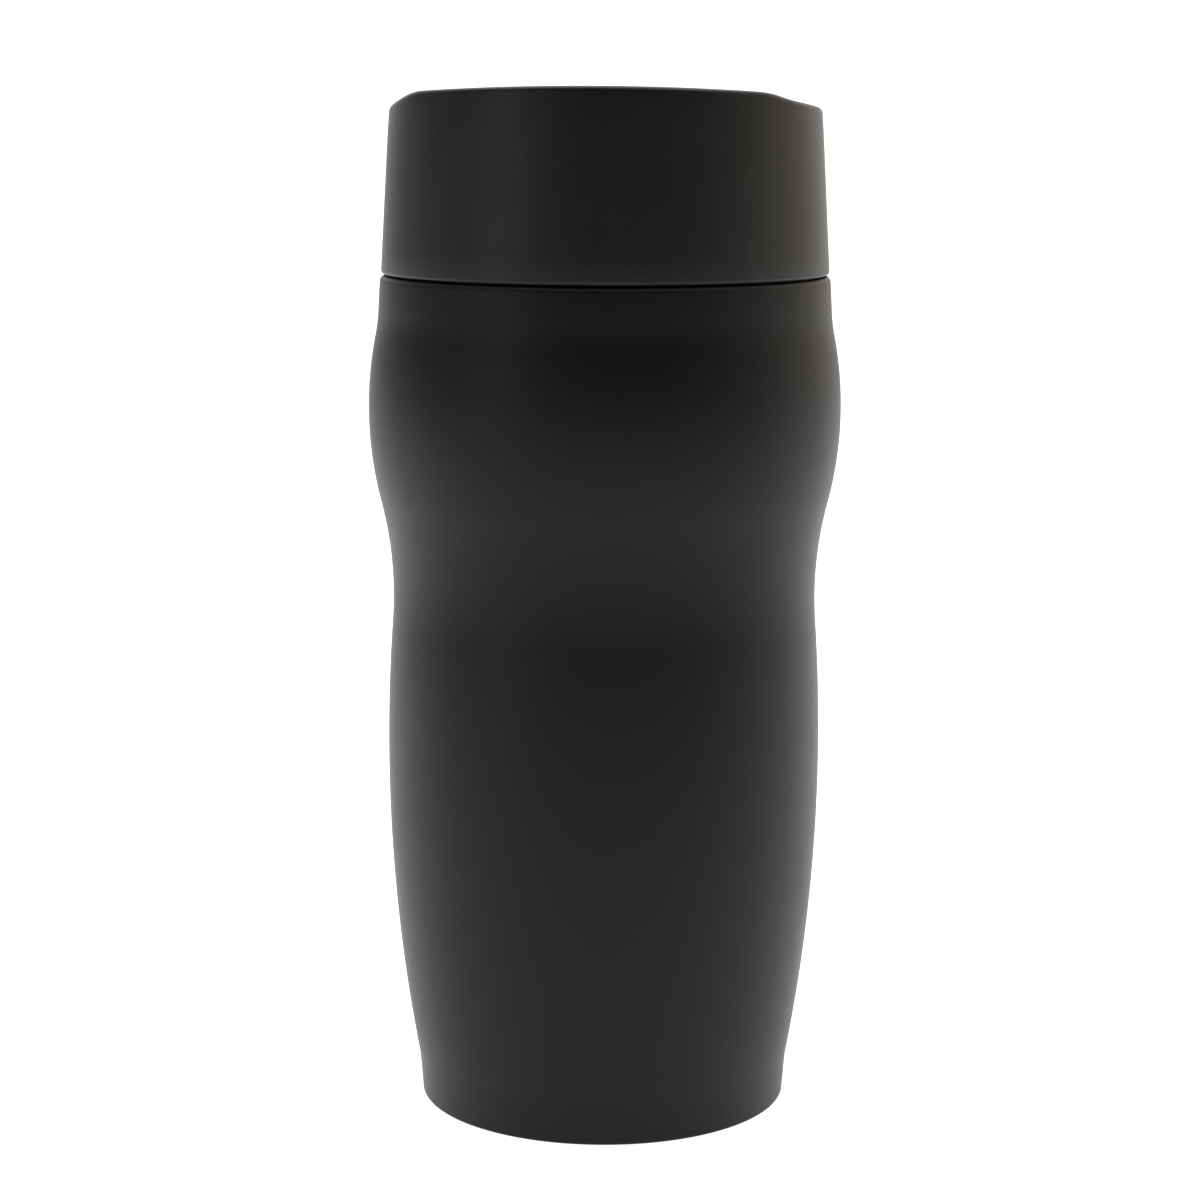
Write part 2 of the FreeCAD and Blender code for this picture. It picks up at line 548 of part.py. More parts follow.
turned("outer_bottom", [
    ("seal_hole_r", "cup_z"), ("seal_well_r", "cup_z"), ("seal_well_r + cup_t", "cup_z - cup_t"),
    ("cup_low_r - wall_t", "cup_z - cup_t"), ("cup_low_r - wall_t", "cup_flange_z"),
    ("cup_low_r", "cup_flange_z"), ("cup_top_r", "cup_z"), ("seal_well_r + cup_t + cup_t", "cup_z"),
    ("seal_well_r + cup_t", "cup_z + cup_t"), ("seal_hole_r", "cup_z + cup_t")])

turned("vacuum_seal_bead", [
    ("0", "cup_z - cup_t"), ("bead_r", "cup_z - cup_t + bead_rise"), ("bead_r", "cup_z"),
    ("seal_hole_r", "cup_z"), ("seal_hole_r", "cup_z + cup_t"), ("0", "cup_z + cup_t")])

liner = turned("inner_liner", [
    ("floor_weld_r", "floor_z"), ("liner_low_r - floor_round", "floor_z", "floor_round", "R"),
    ("liner_low_r", "floor_z + floor_round"), ("liner_r", "liner_taper_z"), ("liner_r", "shoulder_z"),
    ("neck_r", "neck_end_z"), ("neck_r", "mouth_z - liner_lip", "liner_lip", "L"),
    ("neck_r + liner_lip", "mouth_z"), ("weld_r", "mouth_z"), ("weld_r", "mouth_z - liner_t"),
    ("neck_r + liner_t + liner_bend", "mouth_z - liner_t", "liner_bend", "R"),
    ("neck_r + liner_t", "mouth_z - liner_t - liner_bend"), ("neck_r + liner_t", "neck_end_z"),
    ("liner_r + liner_t", "shoulder_z"), ("liner_r + liner_t", "liner_taper_z"),
    ("liner_low_r + liner_t", "floor_z + floor_round", "floor_round + liner_t", "L"),
    ("liner_low_r - floor_round", "floor_z - liner_t"), ("floor_weld_r", "floor_z - liner_t")])
thread(liner, "neck", "neck_r + rib_bury", "liner_crest_r", "liner_rib_z", "liner_rib_h")

turned("inner_bottom", [
    ("0", "floor_z + dome_h"), ("dome_r", "floor_z + dome_h"), ("dome_r + dome_slope", "floor_z"),
    ("floor_weld_r", "floor_z"), ("floor_weld_r", "floor_z - liner_t"),
    ("dome_r + dome_slope", "floor_z - liner_t"), ("dome_r", "floor_z + dome_h - liner_t"),
    ("0", "floor_z + dome_h - liner_t")])

getter = body("getter_disc")
grow(getter, "getter_pad", circle(sketch(getter, "getter_circle", "XY_Plane",
     "floor_z - liner_t - getter_t"), "getter_x", "0", "getter_r"), "getter_t")
cut(getter, "getter_dish", circle(sketch(getter, "getter_dish_circle", "XY_Plane",
    "floor_z - liner_t - getter_t"), "getter_x", "0", "getter_r - getter_rim"), "getter_t / 2")

turned("heat_shield_foil", [
    ("liner_r + liner_t", "foil_low_z"), ("liner_r + liner_t + foil_t", "foil_low_z"),
    ("liner_r + liner_t + foil_t", "foil_top_z"), ("liner_r + liner_t", "foil_top_z")])

cover = turned("base_cover", [
    ("0", "cover_z"), ("cover_r", "cover_z"), ("cover_r", "cover_z + cover_t + cover_wall_h"),
    ("cover_r - cover_t", "cover_z + cover_t + cover_wall_h"), ("cover_r - cover_t", "cover_z + cover_t"),
    ("cover_ring_r", "cover_z + cover_t"), ("cover_ring_r", "cover_z + cover_t + cover_wall_h"),
    ("cover_ring_r - cover_t", "cover_z + cover_t + cover_wall_h"),
    ("cover_ring_r - cover_t", "cover_z + cover_t"), ("0", "cover_z + cover_t")])
rib = grow(cover, "cover_rib", box(sketch(cover, "cover_rib_plan", "XY_Plane", "cover_z"),
           "cover_ring_r - cover_t / 2", "0 - cover_rib_t / 2", "cover_r - cover_t / 2", "cover_rib_t / 2"),
           "cover_t + cover_wall_h")
around(cover, "cover_ribs", rib, 8)

PAD_GROOVES = 3
pad_stops = [("0", "pad_hollow_h"), ("pad_hollow_r - pad_groove_w", "pad_hollow_h"), ("pad_hollow_r", "0")]
for k in range(PAD_GROOVES):
    start = "pad_ring_r + pad_ring_pitch * %d" % k
    pad_stops += [(start, "0"), (start, "pad_groove_h"), (start + " + pad_groove_w", "pad_groove_h"),
                  (start + " + pad_groove_w", "0")]
turned("base_pad", pad_stops + [
    ("pad_r - pad_edge", "0", "pad_edge", "R"), ("pad_r", "pad_edge"), ("pad_r", "cover_z"), ("0", "cover_z")])

# ---- lid: gasket, plug, shell, deck -----------------------------------------------------------

turned("lid_gasket", [
    ("gasket_in_r", "mouth_z + gasket_gap"), ("gasket_heel_r", "mouth_z + gasket_gap"),
    ("gasket_heel_r + gasket_bevel", "gasket_groove_z"), ("gasket_lip_r", "mouth_z + gasket_gap"),
    ("gasket_out_r", "gasket_lip_z"), ("gasket_out_r", "flange_z - gasket_gap"),
    ("gasket_in_r", "flange_z - gasket_gap")])

core = turned("lid_core", [
    ("0", "core_z"), ("core_r - core_chamfer", "core_z"), ("core_r", "core_z + core_chamfer"),
    ("core_r", "flange_z"), ("flange_r", "flange_z"), ("flange_r", "flange_z + flange_t"),
    ("core_r - core_t", "flange_z + flange_t"), ("core_r - core_t", "core_z + core_t"),
    ("0", "core_z + core_t")])
thread(core, "plug", "core_r - rib_bury", "core_crest_r", "core_rib_z", "core_rib_h")
holes = sketch(core, "core_holes_plan", "XY_Plane", "core_z")
circle(holes, "arm", "0", "duct_r + duct_t")
circle(holes, "vent_x", "0", "vent_r + vent_t")
cut(core, "core_holes", holes, "core_t")

foam = turned("lid_insulation", [
    ("0", "core_z + core_t"), ("core_r - core_t - fit_gap", "core_z + core_t"),
    ("core_r - core_t - fit_gap", "tray_z"), ("0", "tray_z")])
holes = sketch(foam, "foam_holes_plan", "XY_Plane", "core_z")
circle(holes, "arm", "0", "duct_r + duct_t + fit_gap")
circle(holes, "vent_x", "0", "vent_r + vent_t + fit_gap")
circle(holes, "0", "screw_y", "post_r + fit_gap")
circle(holes, "0", "0 - screw_y", "post_r + fit_gap")
cut(foam, "foam_holes", holes, "tray_z - core_z + overcut")


def rim_radii(z):
    """Inside and outside radius of the lid shell near its rim."""
    inner = val("lip_r") + (val("rim_in_r") - val("lip_r")) * (z - val("lip_z")) / val("lid_top_z - lip_z")
    return inner, val("lid_r") - val("taper") * (z - val("lid_z"))


shell = turned("lid_shell", [
    ("lid_foot_in_r", "lid_z"), ("lid_r", "lid_z"), ("lid_top_r", "lid_top_z"), ("rim_in_r", "lid_top_z"),
    ("lip_r", "lip_z"), ("lid_in_r", "lip_z"), ("lid_in_r", "flange_z + flange_t"),
    ("lid_groove_r", "flange_z + flange_t"), ("lid_groove_r", "flange_z"),
    ("lid_foot_in_r", "flange_z - snap_fall")], "YZ_Plane")
wave = outline(sketch(shell, "rim_wave"), [
    ("0 - wave_x", "wave_notch_z"), ("knee_x", "knee_z", "notch_round", "L"),
    ("0 - notch_x", "notch_z", "crown_round", "L"), ("scoop_x", "scoop_z", "scoop_round", "L"),
    ("turn_x", "turn_z", "scoop_hollow", "R"), ("hollow_x", "hollow_z"), ("wave_x", "wave_scoop_z"),
    ("wave_x", "lid_top_z + overcut"), ("0 - wave_x", "lid_top_z + overcut")])
cut(shell, "rim_cut", wave, "wave_x * 2", across=True)
soften(shell, "rim_rounding", "rim_round", lambda mid, e: mid.z > val("lip_z") + NEAR
       and min(abs(math.hypot(mid.x, mid.y) - r) for r in rim_radii(mid.z)) < NEAR
       and abs(e.Vertexes[0].Z - e.Vertexes[-1].Z) < val("rim_reach"))
soften(shell, "lid_foot_rounding", "lid_foot_round", lambda mid, e: abs(mid.z - val("lid_z")) < NEAR
       and math.hypot(mid.x, mid.y) > val("lid_foot_in_r + lid_foot_round"))

deck = turned("lid_deck", [
    ("0", "deck_z - deck_t"), ("skirt_in_r", "deck_z - deck_t"), ("skirt_in_r", "skirt_z"),
    ("deck_r - snug", "skirt_z"), ("deck_r - snug", "lip_z"), ("lip_r", "lip_z", "cove_round", "L"),
    ("deck_flat_r", "deck_z"), ("0", "deck_z")])
grow(deck, "well_block", stadium(sketch(deck, "well_block_plan", "XY_Plane", "well_z"), "0 - arm",
     "well_half_x + well_t", "well_half_y + well_t"), "deck_z - well_z")
cut(deck, "well", stadium(sketch(deck, "well_plan", "XY_Plane", "well_floor_z"), "0 - arm",
    "well_half_x", "well_half_y"), "deck_z - well_floor_z + overcut")
cut(deck, "seal_bore", circle(sketch(deck, "seal_bore_plan", "XY_Plane", "well_z"), "0 - arm", "0",
    "seal_bore_r"), "well_floor_z - well_z")
cut(deck, "drink_slot", stadium(sketch(deck, "drink_slot_plan", "XY_Plane", "deck_z - deck_t"), "slot_x",
    "slot_half_x", "slot_half_y"), "deck_t + overcut")
cut(deck, "air_hole", circle(sketch(deck, "air_hole_plan", "XY_Plane", "deck_z - deck_t"), "air_x", "0",
    "air_r"), "deck_t")

turned("deck_seal", [
    ("skirt_in_r", "flange_z + flange_t"), ("deck_r - fit_gap", "flange_z + flange_t"),
    ("deck_r - fit_gap", "skirt_z"), ("skirt_in_r", "skirt_z")])

bezel = body("spout_bezel")
grow(bezel, "bezel_flange", stadium(sketch(bezel, "bezel_flange_plan", "XY_Plane", "deck_z"), "slot_x",
     "slot_half_x + bezel_w", "slot_half_y + bezel_w"), "bezel_h")
grow(bezel, "bezel_sleeve", stadium(sketch(bezel, "bezel_sleeve_plan", "XY_Plane",
     "deck_z - deck_t - bezel_drop"), "slot_x", "slot_half_x", "slot_half_y"), "deck_t + bezel_drop + bond")
cut(bezel, "bezel_mouth", stadium(sketch(bezel, "bezel_mouth_plan", "XY_Plane", "deck_z - deck_t - overcut"),
    "slot_x", "slot_half_x - bezel_t", "slot_half_y - bezel_t"), "deck_t + overcut * 2")

# ---- wet side of the lid: tray with duct, bracket, pin, screws ---------------------------------

tray = turned("valve_tray", [
    ("0", "tray_z"), ("tray_r", "tray_z"), ("tray_r", "flange_z + flange_t"),
    ("tray_rim_r", "flange_z + flange_t"), ("tray_rim_r", "tray_rim_z"), ("tray_r", "tray_rim_z"),
    ("tray_r - tray_flare", "tray_top_z"), ("0", "tray_top_z")])
grow(tray, "duct", circle(sketch(tray, "duct_plan", "XY_Plane", "core_z"), "arm", "0", "duct_r + duct_t"),
     "seat_z - core_z")
grow(tray, "vent", circle(sketch(tray, "vent_plan", "XY_Plane", "core_z"), "vent_x", "0",
     "vent_r + vent_t"), "seat_z - core_z")
posts = sketch(tray, "posts_plan", "XY_Plane", "post_z")
circle(posts, "0", "screw_y", "post_r")
circle(posts, "0", "0 - screw_y", "post_r")
grow(tray, "posts", posts, "tray_top_z - post_z")
bores = sketch(tray, "bores_plan", "XY_Plane", "core_z")
circle(bores, "arm", "0", "duct_r")
circle(bores, "vent_x", "0", "vent_r")
cut(tray, "bores", bores, "seat_z - core_z")
grow(tray, "guide_hub", circle(sketch(tray, "hub_plan", "XY_Plane", "hub_z"), "arm", "0", "hub_r"), "hub_h")
grow(tray, "guide_vane_across", box(sketch(tray, "vane_across_plan", "XY_Plane", "hub_z"),
     "arm - vane_half", "0 - duct_r - vane_root", "arm + vane_half", "duct_r + vane_root"), "hub_h")
grow(tray, "guide_vane_along", box(sketch(tray, "vane_along_plan", "XY_Plane", "hub_z"),
     "arm - duct_r - vane_root", "0 - vane_half", "arm + duct_r + vane_root", "vane_half"), "hub_h")
cut(tray, "guide_bore", circle(sketch(tray, "guide_bore_plan", "XY_Plane", "hub_z"), "arm", "0",
    "hub_bore"), "hub_h")
holes = sketch(tray, "screw_holes_plan", "XY_Plane", "tray_top_z - screw_len + bracket_t")
circle(holes, "0", "screw_y", "screw_r")
circle(holes, "0", "0 - screw_y", "screw_r")
cut(tray, "screw_holes", holes, "screw_len")

bracket = body("rocker_bracket")
grow(bracket, "bracket_foot", box(sketch(bracket, "bracket_foot_plan", "XY_Plane", "tray_top_z"),
     "0 - bracket_half_x", "0 - bracket_half_y", "bracket_half_x", "bracket_half_y"), "bracket_t")
cheek = box(sketch(bracket, "cheek_side"), "0 - cheek_r", "tray_top_z", "cheek_r", "pivot_z")
grow(bracket, "cheek_block", cheek, "cheek_span", across=True)
grow(bracket, "cheek_tops", circle(sketch(bracket, "cheek_top_side"), "0", "pivot_z", "cheek_r"),
     "cheek_span", across=True)
gap = box(sketch(bracket, "cheek_gap_side"), "0 - cheek_r - overcut", "tray_top_z + bracket_t",
          "cheek_r + overcut", "pivot_z + cheek_r + overcut")
cut(bracket, "cheek_gap", gap, "cheek_in * 2", across=True)
cut(bracket, "pin_hole", circle(sketch(bracket, "pin_hole_side"), "0", "pivot_z", "pin_r"),
    "bracket_half_y * 2", across=True)
holes = sketch(bracket, "bracket_holes_plan", "XY_Plane", "tray_top_z")
circle(holes, "0", "screw_y", "screw_r")
circle(holes, "0", "0 - screw_y", "screw_r")
cut(bracket, "bracket_holes", holes, "bracket_t")

pin = body("rocker_pin")
grow(pin, "pin_shank", circle(sketch(pin, "pin_shank_side"), "0", "pivot_z", "pin_r"),
     "cheek_span + pin_head_t * 2 + pin_tail * 2", across=True)
grow(pin, "pin_heads", circle(sketch(pin, "pin_head_side"), "0", "pivot_z", "pin_r + pin_head_t"),
     "cheek_span + pin_head_t * 2", across=True)
necks = circle(sketch(pin, "pin_neck_side"), "0", "pivot_z", "pin_r + overcut")
circle(necks, "0", "pivot_z", "pin_r")
cut(pin, "pin_necks", necks, "cheek_span", across=True)

# the two screws of the bracket, one solid each
screws = []
for side, sign in (("left", "0 - screw_y"), ("right", "screw_y")):
    screw = body("screw_" + side)
    grow(screw, side + "_shank", circle(sketch(screw, side + "_shank_plan", "XY_Plane",
         "tray_top_z + bracket_t - screw_len"), "0", sign, "screw_r"), "screw_len")
    grow(screw, side + "_head", circle(sketch(screw, side + "_head_plan", "XY_Plane",
         "tray_top_z + bracket_t"), "0", sign, "screw_head_r"), "screw_head_t")
    slot = sketch(screw, side + "_drive_plan", "XY_Plane", "tray_top_z + bracket_t + screw_head_t - drive_t")
    drive = box(slot, "0 - screw_head_r", sign + " - drive_half", "screw_head_r", sign + " + drive_half")
    cut(screw, side + "_drive", drive, "drive_t * 2")
    screws.append(screw)
pair = doc.addObject("Part::Compound", "bracket_screws")
pair.Label = "bracket_screws"
pair.Links = screws

# ---- moving parts in the lid -------------------------------------------------------------------

button = body("thumb_button")
grow(button, "button_block", stadium(sketch(button, "button_plan", "XY_Plane", "button_skirt_z"),
     "0 - arm", "button_half_x", "button_half_y"), "button_top_z - button_skirt_z")
soften(button, "button_edge", "button_wall / 2", lambda mid, e: abs(mid.z - val("button_top_z")) < 0.01)
cut(button, "button_hollow", stadium(sketch(button, "button_hollow_plan", "XY_Plane", "button_skirt_z"),
    "0 - arm", "button_half_x - button_wall", "button_half_y - button_wall"),
    "button_roof_z - button_skirt_z")
grow(button, "button_stem", circle(sketch(button, "stem_plan", "XY_Plane", "stem_tip_z"), "0 - arm", "0",
     "stem_r"), "button_roof_z - stem_tip_z + bond")
cut(button, "pad_recess", stadium(sketch(button, "pad_recess_plan", "XY_Plane", "button_top_z - recess_t"),
    "0 - arm", "button_half_x - recess_rim", "button_half_y - recess_rim"), "recess_t * 2")

pad = body("button_pad")
grow(pad, "pad_sheet", stadium(sketch(pad, "pad_plan", "XY_Plane", "button_top_z - recess_t"), "0 - arm",
     "button_half_x - recess_rim - snug", "button_half_y - recess_rim - snug"), "grip_t")
RIDGES = 5
for k in range(RIDGES):
    place = "ridge_pitch * %d" % (k - RIDGES // 2)
    ridge = box(sketch(pad, "ridge_plan_%d" % k, "XY_Plane", "button_top_z - recess_t + grip_t - bond"),
                "0 - arm - ridge_half_x", place + " - ridge_half_y",
                "0 - arm + ridge_half_x", place + " + ridge_half_y")
    grow(pad, "ridge_%d" % k, ridge, "ridge_t")

ring = body("button_seal")
seal_plan = sketch(ring, "button_seal_plan", "XY_Plane", "well_z")
circle(seal_plan, "0 - arm", "0", "seal_bore_r - seal_squeeze")
circle(seal_plan, "0 - arm", "0", "stem_r + seal_slip")
grow(ring, "button_seal_ring", seal_plan, "well_floor_z - well_z")

clip = body("stem_clip")
clip_plan = sketch(clip, "clip_plan", "XY_Plane", "clip_z")
circle(clip_plan, "0 - arm", "0", "clip_r")
circle(clip_plan, "0 - arm", "0", "stem_r")
grow(clip, "clip_ring", clip_plan, "clip_t")
cut(clip, "clip_gap", box(sketch(clip, "clip_gap_plan", "XY_Plane", "clip_z"),
    "0 - arm - clip_r - overcut", "0 - clip_gap_half", "0 - arm", "clip_gap_half"), "clip_t")

spring = body("return_spring")
wire = circle(sketch(spring, "wire_section"), "coil_r", "well_floor_z + wire_r + snug", "wire_r")
coil = spring.newObject("PartDesign::AdditiveHelix", "coil")
coil.Profile = wire
coil.ReferenceAxis = (wire, ["V_Axis"])
coil.Mode = 2
coil.setExpression("Height", ref("button_roof_z - well_floor_z - wire_r * 2 - snug * 2"))
coil.setExpression("Turns", ref("coil_turns"))
spring.setExpression(".Placement.Base.x", ref("0 - arm"))

rocker = body("rocker_lever")
grow(rocker, "bar", box(sketch(rocker, "bar_side"), "0 - arm", "pivot_z - bar_half", "arm",
     "pivot_z + bar_half"), "rocker_half_y * 2", across=True)
knobs = sketch(rocker, "knob_side")
circle(knobs, "0", "pivot_z", "boss_r")
circle(knobs, "arm", "pivot_z", "nose_r")
circle(knobs, "0 - arm", "pivot_z", "nose_r")
grow(rocker, "knobs", knobs, "rocker_half_y * 2", across=True)
cut(rocker, "pin_bore", circle(sketch(rocker, "pin_bore_side"), "0", "pivot_z", "pin_r + pin_play"),
    "rocker_half_y * 3", across=True)
cut(rocker, "fork", box(sketch(rocker, "fork_plan", "XY_Plane", "pivot_z - fork_len"), "arm - fork_len",
    "0 - fork_half_y", "arm + fork_len", "fork_half_y"), "fork_len * 2")
for k, (x0, x1) in enumerate((("0 - arm + toe_len", "0 - boss_r - boss_flat"),
                              ("boss_r + boss_flat", "arm - fork_len - fork_root"))):
    for m, (y0, y1) in enumerate((("waist_half_y", "rocker_half_y + overcut"),
                                  ("0 - rocker_half_y - overcut", "0 - waist_half_y"))):
        cut(rocker, "waist_%d%d" % (k, m), box(sketch(rocker, "waist_plan_%d%d" % (k, m), "XY_Plane",
            "pivot_z - fork_len"), x0, y0, x1, y1), "fork_len * 2")

plug = body("drink_plug")
grow(plug, "plug_disc", circle(sketch(plug, "plug_disc_plan", "XY_Plane", "plug_z"), "arm", "0", "plug_r"),
     "plug_t")
grow(plug, "plug_stem", circle(sketch(plug, "plug_stem_plan", "XY_Plane", "plug_z"), "arm", "0",
     "plug_stem_r"), "plug_top_z - plug_z")
grow(plug, "pilot", circle(sketch(plug, "pilot_plan", "XY_Plane", "pilot_z"), "arm", "0", "pilot_r"),
     "plug_z - pilot_z + bond")
grow(plug, "collar_low", circle(sketch(plug, "collar_low_plan", "XY_Plane",
     "pivot_z - nose_r - collar_gap - collar_t"), "arm", "0", "collar_r"), "collar_t")
grow(plug, "collar_high", circle(sketch(plug, "collar_high_plan", "XY_Plane",
     "pivot_z + nose_r + collar_gap"), "arm", "0", "collar_r"), "collar_t")
grow(plug, "vent_arm", box(sketch(plug, "vent_arm_plan", "XY_Plane", "plug_z"), "vent_x",
     "0 - vent_arm_half", "arm", "vent_arm_half"), "plug_t")
grow(plug, "vent_cap", circle(sketch(plug, "vent_cap_plan", "XY_Plane", "plug_z"), "vent_x", "0",
     "vent_cap_r"), "plug_t")

soft = body("plug_seal")
for tag, low, high, outer in (("face", "seat_z + seal_lift", "plug_z", "plug_r + seal_proud"),
                              ("spigot", "spigot_z", "plug_z", "spigot_r")):
    section = sketch(soft, "seal_%s_plan" % tag, "XY_Plane", low)
    circle(section, "arm", "0", outer)
    circle(section, "arm", "0", "pilot_r")
    grow(soft, "seal_" + tag, section, less(high, low))

cap = body("vent_plug")
grow(cap, "vent_face", circle(sketch(cap, "vent_face_plan", "XY_Plane", "seat_z + seal_lift"), "vent_x", "0",
     "vent_face_r"), "plug_z - seat_z - seal_lift")
grow(cap, "vent_nub", circle(sketch(cap, "vent_nub_plan", "XY_Plane", "seat_z - vent_nub_drop"), "vent_x",
     "0", "vent_nub_r"), "vent_nub_drop + seal_lift + bond")

NODES = ["outer_wall", "outer_bottom", "vacuum_seal_bead", "inner_liner", "inner_bottom", "getter_disc",
         "heat_shield_foil", "base_cover", "base_pad", "lid_gasket", "lid_core", "lid_insulation",
         "lid_shell", "lid_deck", "deck_seal", "spout_bezel", "valve_tray", "rocker_bracket", "rocker_pin",
         "bracket_screws", "thumb_button", "button_pad", "button_seal", "stem_clip", "return_spring",
         "rocker_lever", "drink_plug", "plug_seal", "vent_plug"]
doc.recompute()
bad = [o.Name for o in doc.Objects if "Invalid" in o.State or "Error" in o.State]
if bad:
    raise SystemExit("not computed: " + ", ".join(bad))
os.makedirs("parts", exist_ok=True)
for node in NODES:
    made = doc.getObject(node)
    if made.Shape.isNull() or not made.Shape.isValid() or not made.Shape.Solids:
        raise SystemExit("bad shape: " + node)
    made.Shape.exportStep("parts/%s.step" % node)
    extent = made.Shape.BoundBox
    print("%-18s solids %d volume %9.1f  z %.2f to %.2f  r %.2f" % (
        node, len(made.Shape.Solids), made.Shape.Volume, extent.ZMin, extent.ZMax, extent.XMax))
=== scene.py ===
import math

import bpy
from mathutils import Matrix, Vector


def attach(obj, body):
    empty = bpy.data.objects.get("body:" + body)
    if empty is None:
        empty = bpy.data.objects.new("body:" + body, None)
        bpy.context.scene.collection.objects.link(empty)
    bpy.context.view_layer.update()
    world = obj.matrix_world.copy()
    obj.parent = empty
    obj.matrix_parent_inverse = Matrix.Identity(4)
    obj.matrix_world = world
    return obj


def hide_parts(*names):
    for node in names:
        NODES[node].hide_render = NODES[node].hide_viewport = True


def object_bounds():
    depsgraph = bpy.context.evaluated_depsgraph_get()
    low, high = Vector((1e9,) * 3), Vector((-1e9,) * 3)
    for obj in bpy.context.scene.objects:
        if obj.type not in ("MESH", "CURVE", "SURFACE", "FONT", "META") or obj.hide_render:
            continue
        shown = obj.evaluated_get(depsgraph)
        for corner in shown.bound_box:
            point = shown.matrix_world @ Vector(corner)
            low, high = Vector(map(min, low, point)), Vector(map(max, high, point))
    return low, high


# Looks of the insulated tumbler: metres, +Z up, the drinking side towards +X.
# The two outside shells are rebuilt here as fine turned meshes from the same arcs as the frame's
# shells; every other part keeps its own mesh and gets a material.

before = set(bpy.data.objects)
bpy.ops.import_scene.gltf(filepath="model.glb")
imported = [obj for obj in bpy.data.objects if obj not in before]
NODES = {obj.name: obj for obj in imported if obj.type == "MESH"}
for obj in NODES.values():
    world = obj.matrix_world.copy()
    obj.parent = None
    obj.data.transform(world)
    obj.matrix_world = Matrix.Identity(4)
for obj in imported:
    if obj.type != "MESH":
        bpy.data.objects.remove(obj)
cad_low, cad_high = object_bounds()
MM = 0.001

# ---- sizes of the two shells, in millimetres ----------------------------------------------------
# They are the frame's sizes, except at the lid's lower edge: there the skin reaches SEAM_DROP
# lower than the frame's shell and is rounded a little more, so that the seam looks finer.
BELLY = {"r": 41.7, "z": 69.0, "round": 335.5}
BULGE = {"r": 44.97, "z": 134.8, "round": 71.0}
WAIST_ROUND = 71.9
FLARE_ROUND = 30.0
MOUTH = {"r": 42.6, "z": 160.2, "corner": 1.3}
FOOT = {"r": 35.5, "z": 0.2, "hem_r": 33.0, "corner": 0.6}
KINK_Z = 7.8
TAPER = 0.057
LEAN = math.hypot(1, TAPER)
WALL = 0.8
WELD_R = 41.0
SEAM_DROP = 0.15
LID = {"r": 42.43, "z": 160.5 - SEAM_DROP, "foot_in_r": 39.5, "groove_r": 40.4, "groove_z": 161.95,
       "groove_fall": 0.2,
       "in_r": 38.9, "in_z": 163.8, "lip_r": 37.7, "lip_z": 189.0, "rim_in_r": 38.15, "rim_z": 196.0}
RIM_ROUND = 1.0
LID_FOOT_ROUND = 0.7
CROWN = {"x": -3.5, "z": 195.0, "round": 560.0}
SCOOP = {"x": 27.0, "round": 17.5, "fall": 0.32, "hollow": 30.0, "lip_fall": 0.19}
NOTCH = {"x": 33.0, "round": 10.0, "fall": 0.49}
COLUMNS = 288


# ---- curves -------------------------------------------------------------------------------------

def arc(centre, radius, start, end, steps):
    """Points on an arc from one (r, z) point to another, the short way round."""
    a = math.atan2(start[1] - centre[1], start[0] - centre[0])
    b = math.atan2(end[1] - centre[1], end[0] - centre[0])
    turn = (b - a + math.pi) % (2 * math.pi) - math.pi
    return [(centre[0] + radius * math.cos(a + turn * k / steps),
             centre[1] + radius * math.sin(a + turn * k / steps)) for k in range(steps + 1)]


def between(a, b, share):
    return a[0] + (b[0] - a[0]) * share, a[1] + (b[1] - a[1]) * share


def body_side(inset):
    """Side of the body from the base band up to the mouth's corner, moved inwards by inset."""
    belly = (BELLY["r"] - BELLY["round"], BELLY["z"])
    bulge = (BULGE["r"] - BULGE["round"], BULGE["z"])
    low, high = BELLY["round"] + WAIST_ROUND, BULGE["round"] + WAIST_ROUND
    gap = math.dist(belly, bulge)
    along = (low * low - high * high + gap * gap) / (2 * gap)
    off = math.sqrt(low * low - along * along)
    dx, dz = (bulge[0] - belly[0]) / gap, (bulge[1] - belly[1]) / gap
    waist = (belly[0] + along * dx + off * dz, belly[1] + along * dz - off * dx)
    # hollow arc between the bulge and the straight neck band
    out = (1 / LEAN, TAPER / LEAN)
    back = (bulge[0] - MOUTH["r"], bulge[1] - MOUTH["z"])
    apart = back[0] * out[0] + back[1] * out[1]
    reach = BULGE["round"] + FLARE_ROUND
    rise = back[1] * out[0] - back[0] * out[1] + math.sqrt(reach ** 2 - (FLARE_ROUND - apart) ** 2)
    flare = (MOUTH["r"] + FLARE_ROUND * out[0] - rise * out[1],
             MOUTH["z"] + FLARE_ROUND * out[1] + rise * out[0])
    kink = (belly[0] + math.sqrt((BELLY["round"] - inset) ** 2 - (BELLY["z"] - KINK_Z) ** 2), KINK_Z)
    meet_low = between(belly, waist, (BELLY["round"] - inset) / low)
    meet_high = between(bulge, waist, (BULGE["round"] - inset) / high)
    meet_flare = between(bulge, flare, (BULGE["round"] - inset) / reach)
    band = (flare[0] - (FLARE_ROUND + inset) * out[0], flare[1] - (FLARE_ROUND + inset) * out[1])
    points = arc(belly, BELLY["round"] - inset, kink, meet_low, 60)
    points += arc(waist, WAIST_ROUND + inset, meet_low, meet_high, 24)[1:]
    points += arc(bulge, BULGE["round"] - inset, meet_high, meet_flare, 40)[1:]
    points += arc(flare, FLARE_ROUND + inset, meet_flare, band, 8)[1:]
    return points


